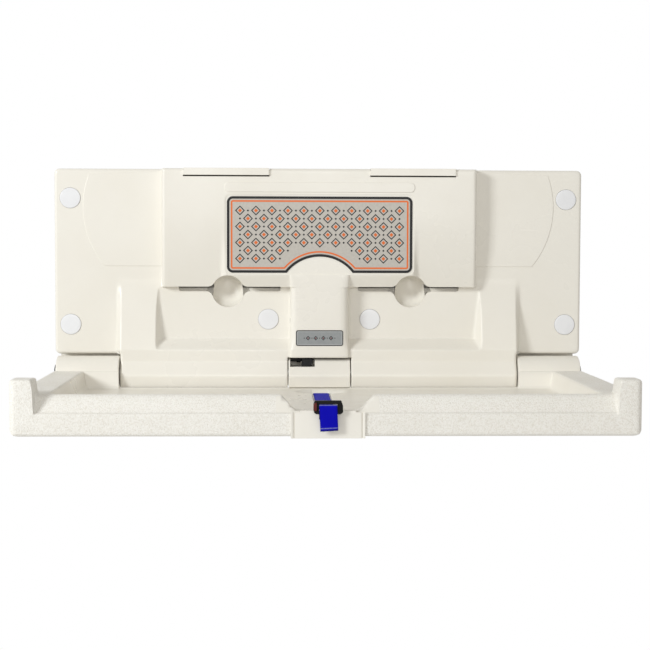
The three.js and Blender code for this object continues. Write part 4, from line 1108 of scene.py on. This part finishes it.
def capTree():
    tree = bpy.data.node_groups.new("capSetting", "GeometryNodeTree")
    kinds = {"Places": "Geometry", "Cap": "Object", "Size": "Float", "Finish": "Material"}
    keys = {}
    for label, kind in kinds.items():
        socket = tree.interface.new_socket(label, in_out="INPUT", socket_type="NodeSocket" + kind)
        keys[label] = socket.identifier
    tree.interface.new_socket("Caps", in_out="OUTPUT", socket_type="NodeSocketGeometry")
    takes = addNode(tree, "NodeGroupInput").outputs
    shape = addNode(tree, "GeometryNodeObjectInfo", {"Object": takes["Cap"]})
    setting = {"Points": takes["Places"], "Instance": shape.outputs["Geometry"], "Scale": takes["Size"]}
    setOut = addNode(tree, "GeometryNodeInstanceOnPoints", setting)
    real = addNode(tree, "GeometryNodeRealizeInstances", {"Geometry": setOut.outputs["Instances"]})
    setting = {"Geometry": real.outputs["Geometry"], "Material": takes["Finish"]}
    coat = addNode(tree, "GeometryNodeSetMaterial", setting)
    addNode(tree, "NodeGroupOutput", {"Caps": coat.outputs["Geometry"]})
    return tree, keys


def buildCaps(spec, places):
    mesh = turnedMesh(spec["profile"], (0, 0, 0), "forward", spec["steps"])
    pattern = newPiece("capPattern", mesh, "capWhite")
    smoothFaces(pattern, partAngle)
    spots = bpy.data.meshes.new("capPlaces")
    spots.from_pydata([toPoint(side * x, depth, z) for side in bothSides for x, z, depth in places], [], [])
    piece = newPiece("screwCaps", spots, "capWhite")
    tree, keys = capTree()
    setting = piece.modifiers.new("capSetting", "NODES")
    setting.node_group = tree
    for label, value in (("Cap", pattern), ("Size", spec["size"]), ("Finish", finishes["capWhite"])):
        setting[keys[label]] = value
    settle(piece)
    bpy.data.objects.remove(pattern)
    rows, hands = ("upper", "lower", "inner"), ("left", "right")
    return stand(piece, "wall_unit", *["screw_cap_" + row + "_" + hand for row in rows for hand in hands])


capPiece = buildCaps(caps, panel["caps"]["places"])
print("screw caps set:", len(capPiece.data.polygons), "faces")

# Printed plates

plates = {"label": {"half": 157, "foot": 171, "top": 300, "corner": 10, "arch": (56, 27.5),
                    "near": 65.05, "far": 66.0, "border": 4.2, "rules": (6.6, 9.4), "clear": 20,
                    "pitch": 27.0, "diamond": (0.31, 0.22, 0.13), "dot": 0.075,
                    "paper": (0.56, 0.53, 0.485), "ink": (0.013, 0.013, 0.014),
                    "accent": (0.72, 0.16, 0.035), "rule": (0.78, 0.17, 0.04)},
          "badge": {"half": 40, "foot": 47, "top": 73.5, "corner": 3.6,
                    "near": 67.55, "far": 68.5, "border": 1.2, "rules": (2.1, 2.7), "clear": 8,
                    "pitch": 13.0, "diamond": (0.30, 0.18, 0.11), "dot": 0.08,
                    "paper": (0.31, 0.325, 0.33), "ink": (0.022, 0.024, 0.025),
                    "accent": (0.16, 0.018, 0.02), "rule": (0.46, 0.47, 0.47)}}
printing = {"bleed": 0.2, "fade": 0.92, "soft": 0.25, "gloss": 0.2, "rough": (0.34, 0.42),
            "scuffed": (0.5, 0.49, 0.47), "scuff": 0.1, "scuffRough": 0.2,
            "fibreScale": 240.0, "fibreDepth": 0.02, "fibreForce": 0.2}


def archCentre(spec):
    half, rise = spec["arch"]
    radius = (half * half + rise * rise) / (2 * rise)
    return spec["foot"] + rise - radius, radius


def plateOutline(spec):
    outline = plateShape(spec)
    if "arch" not in spec:
        return outline
    corner = len(outline) * 3 // 4
    half, rise = spec["arch"]
    bow = arcThrough((-half, spec["foot"]), (0, spec["foot"] + rise), (half, spec["foot"]), 28)
    return outline[:corner] + bow + outline[corner:]


# How far a point lies inside the plate's edge
def insetAt(tree, spec, across, rise):
    corner, tall = spec["corner"], (spec["top"] - spec["foot"]) / 2
    past = [calc(tree, "SUBTRACT", calc(tree, "ABSOLUTE", value), half - corner)
            for value, half in ((across, spec["half"]), (rise, tall))]
    outside = [calc(tree, "POWER", calc(tree, "MAXIMUM", value, 0.0), 2.0) for value in past]
    rounded = calc(tree, "SUBTRACT", corner, calc(tree, "SQRT", calc(tree, "ADD", *outside)))
    inset = calc(tree, "SUBTRACT", rounded, calc(tree, "MINIMUM", calc(tree, "MAXIMUM", *past), 0.0))
    if "arch" not in spec:
        return inset
    centre, radius = archCentre(spec)
    high = calc(tree, "SUBTRACT", rise, centre - (spec["foot"] + spec["top"]) / 2)
    squares = [calc(tree, "MULTIPLY", value, value) for value in (across, high)]
    far = calc(tree, "SQRT", calc(tree, "ADD", *squares))
    return calc(tree, "MINIMUM", inset, calc(tree, "SUBTRACT", far, radius))


# A lattice of diamonds; only those that lie wholly inside the field are drawn
def latticeMarks(tree, spec, across, rise, shift):
    slants = [calc(tree, "MULTIPLY_ADD", rise, turn, across) for turn in (1.0, -1.0)]
    places = [calc(tree, "ADD", calc(tree, "DIVIDE", slant, spec["pitch"]), shift) for slant in slants]
    cells = [calc(tree, "ADD", calc(tree, "FLOOR", place), 0.5 - shift) for place in places]
    middle = [calc(tree, "MULTIPLY", calc(tree, step, *cells), spec["pitch"] / 2)
              for step in ("ADD", "SUBTRACT")]
    drawn = calc(tree, "GREATER_THAN", insetAt(tree, spec, *middle), spec["clear"])
    off = [calc(tree, "ABSOLUTE", calc(tree, "SUBTRACT", calc(tree, "FRACT", place), 0.5))
           for place in places]
    return drawn, calc(tree, "MAXIMUM", *off)


def buildPrint(name, spec, ways):
    made, tree, shade = newMaterial(name)
    place = objectPlace(tree)
    split = addNode(tree, "ShaderNodeSeparateXYZ", {0: place})
    across, up = (calc(tree, "MULTIPLY", split.outputs[axis], 1 / mm) for axis in ("X", "Z"))
    rise = calc(tree, "SUBTRACT", up, (spec["foot"] + spec["top"]) / 2)
    inset = insetAt(tree, spec, across, rise)
    fibre = noiseOf(tree, place, ways["fibreScale"], 4.0, 0.6)
    faded = tuple(value * ways["fade"] for value in spec["paper"])
    colour = blendColour(tree, ranged(tree, fibre, 0.3, 0.7), spec["paper"], faded)
    soft, bleed = ways["bleed"] / spec["pitch"], ways["bleed"]
    diamonds = zip(spec["diamond"], (spec["ink"], spec["paper"], spec["accent"]))
    for shift, marks in ((0.0, diamonds), (0.5, ((spec["dot"], spec["ink"]),))):
        drawn, off = latticeMarks(tree, spec, across, rise, shift)
        for size, tone in marks:
            colour = layOver(tree, colour, tone, ranged(tree, off, size + soft, size - soft), drawn)
    low, high = spec["rules"]
    colour = layOver(tree, colour, spec["rule"], ranged(tree, inset, low - bleed, low + bleed),
                     ranged(tree, inset, high + bleed, high - bleed))
    edge = ranged(tree, inset, spec["border"] + bleed, spec["border"] - bleed)
    colour = blendColour(tree, edge, colour, spec["ink"])
    scuff = groupIn(tree, handlingWear)["Scuff"]
    feed(tree, layOver(tree, colour, ways["scuffed"], scuff, ways["scuff"]), shade.inputs["Base Color"])
    rough = ranged(tree, fibre, 0.3, 0.7, *ways["rough"])
    feed(tree, calc(tree, "MULTIPLY_ADD", scuff, ways["scuffRough"], rough), shade.inputs["Roughness"])
    feed(tree, ways["gloss"], shade.inputs["Specular IOR Level"])
    setBump(tree, shade, fibre, ways["fibreDepth"], ways["fibreForce"])
    return made


for plateName, spec in plates.items():
    finishes[plateName + "Print"] = buildPrint(plateName + "Print", spec, printing)
    mesh = softPrism(plateOutline(spec), spec["near"], spec["far"], printing["soft"])
    plate = newPiece(plateName + "Plate", mesh, plateName + "Print")
    smoothFaces(plate)
    stand(plate, "wall_unit", plateName + "_plate")
print("printed plates fitted:", len(plates))

# Grip plate, with a shallow groove down each side of its face

grip = {"soft": 0.9, "grooveAt": 48.4, "grooveHalf": 0.9, "grooveFloor": 476.9, "grooveSpan": (-70, -18)}


def buildGrip(spec):
    piece = softShape("front_grip_plate", "frontGripPlate", "smoothCream", spec["soft"])
    for side in bothSides:
        span = spanOf(side, spec["grooveAt"] - spec["grooveHalf"], spec["grooveAt"] + spec["grooveHalf"])
        carve(piece, blockMesh(span, (spec["grooveFloor"], spec["grooveFloor"] + 8), spec["grooveSpan"]))
    smoothFaces(piece, partAngle)
    return stand(piece, "tray", "front_grip_plate")


buildGrip(grip)

# Buckle: a cheeked frame, and the button in its left cheek

buckle = {"outline": ((18.3, -1.5), (20.7, -8), (21, -10), (21, -17.2), (20, -19.6), (17.6, -20.9),
                      (-16.6, -20.9), (-19.4, -19.4), (-21, -15.6), (-21, -7), (-20, -4), (-18.2, -1.5)),
          "near": 480.1, "far": 486.1, "soft": 1.2,
          "window": (-13.0, -17.0, 13.0, -6.6), "windowRound": 0.8,
          "seatAcross": (-22, -13.8), "seatBack": 481.0, "seatUp": (-17.2, -3.9),
          "ribs": (14.6, 16.4, 18.2), "ribHalf": 0.35, "ribDepth": 0.5, "ribUp": (-17.5, -5),
          "button": ((-16.1, -16.5), (-16.1, -4.7), (-19.0, -4.7), (-20.9, -7.4), (-20.9, -14.2),
                     (-19.4, -16.5)),
          "buttonNear": 481.7, "buttonFar": 485.8, "buttonSoft": 0.7}


def buildBuckle(spec):
    near, far = spec["near"], spec["far"]
    mesh = softPrism(spec["outline"], near, far, spec["soft"], True)
    piece = newPiece("buckleFrame", mesh, "buckleBlack")
    carve(piece, prismMesh(roundedOutline(*spec["window"], spec["windowRound"], 3), near - 2, far + 2))
    carve(piece, blockMesh(spec["seatAcross"], (spec["seatBack"], far + 2), spec["seatUp"]))
    for across in spec["ribs"]:
        span = (across - spec["ribHalf"], across + spec["ribHalf"])
        carve(piece, blockMesh(span, (far - spec["ribDepth"], far + 1), spec["ribUp"]))
    smoothFaces(piece, partAngle)
    stand(piece, "tray", "buckle_frame")
    mesh = softPrism(spec["button"], spec["buttonNear"], spec["buttonFar"], spec["buttonSoft"], True)
    button = newPiece("releaseButton", mesh, "releaseRed")
    smoothFaces(button, partAngle)
    stand(button, "button", "release_button")


buildBuckle(buckle)
print("grip plate and buckle built")

# Strap: a woven ribbon along (forward from the hinge, up) points, from its anchor to its hanging tail

strap = {"half": 12.7, "thick": 1.6, "edgeThin": 0.4, "edgePower": 14, "hinge": 46,
         "rows": 300, "columns": 12, "bendRows": 12, "crisp": 60,
         "lean": 1.6, "slant": 1.5, "bow": 0.5, "tailFrom": 438, "tailTop": -12, "tailEnd": -45.4,
         "ribPitch": 1.15, "cordPitch": 1.7, "weaveDepth": 0.3, "weaveForce": 0.7, "selvedgeShade": 0.055,
         "creases": (37.2, 4.2), "creaseReach": (1.1, 0.5), "darkEndReach": (2.6, 1.4),
         "colour": (0.0015, 0.0006, 0.47), "shade": (0.001, 0.0005, 0.22), "pale": (0.01, 0.01, 0.5),
         "foldHighlight": (0.30, 0.32, 0.5), "darkEnd": (0.012, 0.012, 0.07),
         "rough": (0.62, 0.8), "sheen": 0.03, "sheenRough": 0.4, "gloss": 0.1,
         "route": ((52, -35.9), (76, -35.9), (86, -31.9), (100, -26.2), (110, -25.4), (124, -25.9),
                   (385, -25.9), (391, -21.5), (397, -15.6), (420, -15.5), (427.5, -14.6), (431.5, -11.2),
                   (434.4, -8.4), (437.2, -7.75), (439.4, -8.2), (440.6, -10.4), (441.1, -20), (440.9, -32),
                   (440.4, -45.4))}
cornerCuts = 3


# The route's corners are cut again and again; its rows then crowd where it bends
def smoothRoute(points, rows, bendRows):
    points = np.array(points, float)
    for turn in range(cornerCuts):
        cut = [points[0]]
        for first, second in zip(points, points[1:]):
            cut += [first * 0.75 + second * 0.25, first * 0.25 + second * 0.75]
        points = np.array(cut + [points[-1]])
    legs, place = np.diff(points, axis=0), np.arange(len(points))
    steps = np.append(0, np.cumsum(np.linalg.norm(legs, axis=1)))
    turns = np.arccos(np.clip(np.sum(unit(legs)[1:] * unit(legs)[:-1], axis=1), -1, 1))
    bends = np.interp(place, place[1:-1], np.cumsum(turns))
    measure = steps + bends * bendRows
    even = np.interp(np.linspace(0, measure[-1], rows), measure, place)
    line = np.stack([np.interp(even, place, points[:, axis]) for axis in (0, 1)], axis=1)
    return line, np.interp(even, place, steps)


def buildStrap(spec):
    line, run = smoothRoute(spec["route"], spec["rows"], spec["bendRows"])
    along = unit(np.gradient(line, axis=0))
    normal = np.stack([-along[:, 1], along[:, 0]], axis=1)
    sides = np.linspace(-1, 1, spec["columns"] + 1)
    points, coords = [], []
    for face in (1, -1):
        for (forward, up), (outForward, outUp), far in zip(line, normal, run):
            hung = (spec["tailTop"] - up) / (spec["tailTop"] - spec["tailEnd"])
            tail = min(max(hung, 0), 1) if forward > spec["tailFrom"] else 0
            for side in sides:
                half = spec["thick"] / 2 * (1 - spec["edgeThin"] * abs(side) ** spec["edgePower"]) * face
                lift = spec["slant"] * tail * tail * (side + 1) / 2
                bow = spec["bow"] * tail * (1 - side * side)
                points.append(toPoint(side * spec["half"] + spec["lean"] * tail,
                                      spec["hinge"] + forward + outForward * half + bow,
                                      up + outUp * half + lift))
                coords.append((side * 0.5 + 0.5, far * mm))
    mesh = meshOf("strap", points, ribbonFaces(spec["rows"], len(sides), len(points) // 2))
    layer = mesh.uv_layers.new(name="weave")
    for loop in mesh.loops:
        layer.data[loop.index].uv = coords[loop.vertex_index]
    finishes["strapWebbing"] = buildWebbing("strapWebbing", spec, run[-1])
    piece = newPiece("safetyStrap", mesh, "strapWebbing")
    mesh.polygons.foreach_set("use_smooth", [True] * len(mesh.polygons))
    mesh.set_sharp_from_angle(angle=math.radians(spec["crisp"]))
    stand(piece, "tray", "safety_strap")
    return run[-1]


# Both faces of the ribbon, its two long edges and its two ends
def ribbonFaces(rows, wide, total):
    faces = []
    for row in range(rows - 1):
        for column in range(wide - 1):
            a = row * wide + column
            ring = (a, a + 1, a + 1 + wide, a + wide)
            faces += [ring, [corner + total for corner in reversed(ring)]]
        for a in (row * wide, row * wide + wide - 1):
            faces.append([a, a + wide, a + wide + total, a + total])
    for row in (0, rows - 1):
        for a in range(row * wide, row * wide + wide - 1):
            faces.append([a, a + 1, a + 1 + total, a + total])
    return faces


# Webbing: ribs across, cords along, both edges darker as a selvedge and as painted shade, painted highlights
# along the folds, and darker over the last millimetres of its end
def buildWebbing(name, spec, length):
    made, tree, shade = newMaterial(name)
    weave = addNode(tree, "ShaderNodeUVMap", uv_map="weave").outputs["UV"]
    split = addNode(tree, "ShaderNodeSeparateXYZ", {0: weave}).outputs
    across, along = split["X"], split["Y"]
    rib = calc(tree, "SINE", calc(tree, "MULTIPLY", along, 2 * math.pi / (spec["ribPitch"] * mm)))
    cord = calc(tree, "MULTIPLY", across, 2 * math.pi * round(2 * spec["half"] / spec["cordPitch"]))
    under = calc(tree, "SINE", calc(tree, "ADD", cord, calc(tree, "MULTIPLY", rib, 0.9)))
    crown = calc(tree, "ABSOLUTE", calc(tree, "SINE", calc(tree, "MULTIPLY", cord, 0.5)))
    height = calc(tree, "MULTIPLY_ADD", calc(tree, "MULTIPLY", rib, under), 0.35,
                  calc(tree, "MULTIPLY_ADD", crown, 0.5, 0.3))
    edge = calc(tree, "ABSOLUTE", calc(tree, "SUBTRACT", across, 0.5))
    selvedgeShade = ranged(tree, edge, 0.5 - spec["selvedgeShade"], 0.5 - spec["selvedgeShade"] * 0.7)
    darkEnd = ranged(tree, along, *((length - back) * mm for back in spec["darkEndReach"]))
    place = objectPlace(tree)
    fuzz, soil = noiseOf(tree, place, 420.0, 4.0, 0.65), noiseOf(tree, place, 38.0, 3.0, 0.6)
    colour = blendColour(tree, ranged(tree, height, 0.2, 0.75), spec["shade"], spec["colour"])
    colour = layOver(tree, colour, spec["pale"], ranged(tree, fuzz, 0.55, 0.8), 0.5)
    # both long edges darker: a selvedge, and painted shade along the edges
    colour = layOver(tree, colour, spec["shade"], selvedgeShade, 0.6)
    colour = layOver(tree, colour, spec["shade"], ranged(tree, soil, 0.5, 0.8), 0.25)
    # painted highlight: a pale line across the webbing at each fold
    for back in spec["creases"]:
        off = calc(tree, "ABSOLUTE", calc(tree, "SUBTRACT", along, (length - back) * mm))
        crease = ranged(tree, off, *(reach * mm for reach in spec["creaseReach"]))
        colour = layOver(tree, colour, spec["foldHighlight"], crease, ranged(tree, fuzz, 0.3, 0.6, 0.25, 0.6))
    # the webbing turns darker over its last few millimetres towards the cut end
    feed(tree, layOver(tree, colour, spec["darkEnd"], darkEnd, 0.7), shade.inputs["Base Color"])
    feed(tree, ranged(tree, fuzz, 0.3, 0.7, *spec["rough"]), shade.inputs["Roughness"])
    feed(tree, spec["sheen"], shade.inputs["Sheen Weight"])
    feed(tree, spec["sheenRough"], shade.inputs["Sheen Roughness"])
    feed(tree, spec["gloss"], shade.inputs["Specular IOR Level"])
    height = calc(tree, "MULTIPLY_ADD", fuzz, 0.15, height)
    setBump(tree, shade, height, spec["weaveDepth"], spec["weaveForce"])
    return made


strapLength = buildStrap(strap)
print("strap laid:", round(strapLength), "mm long")
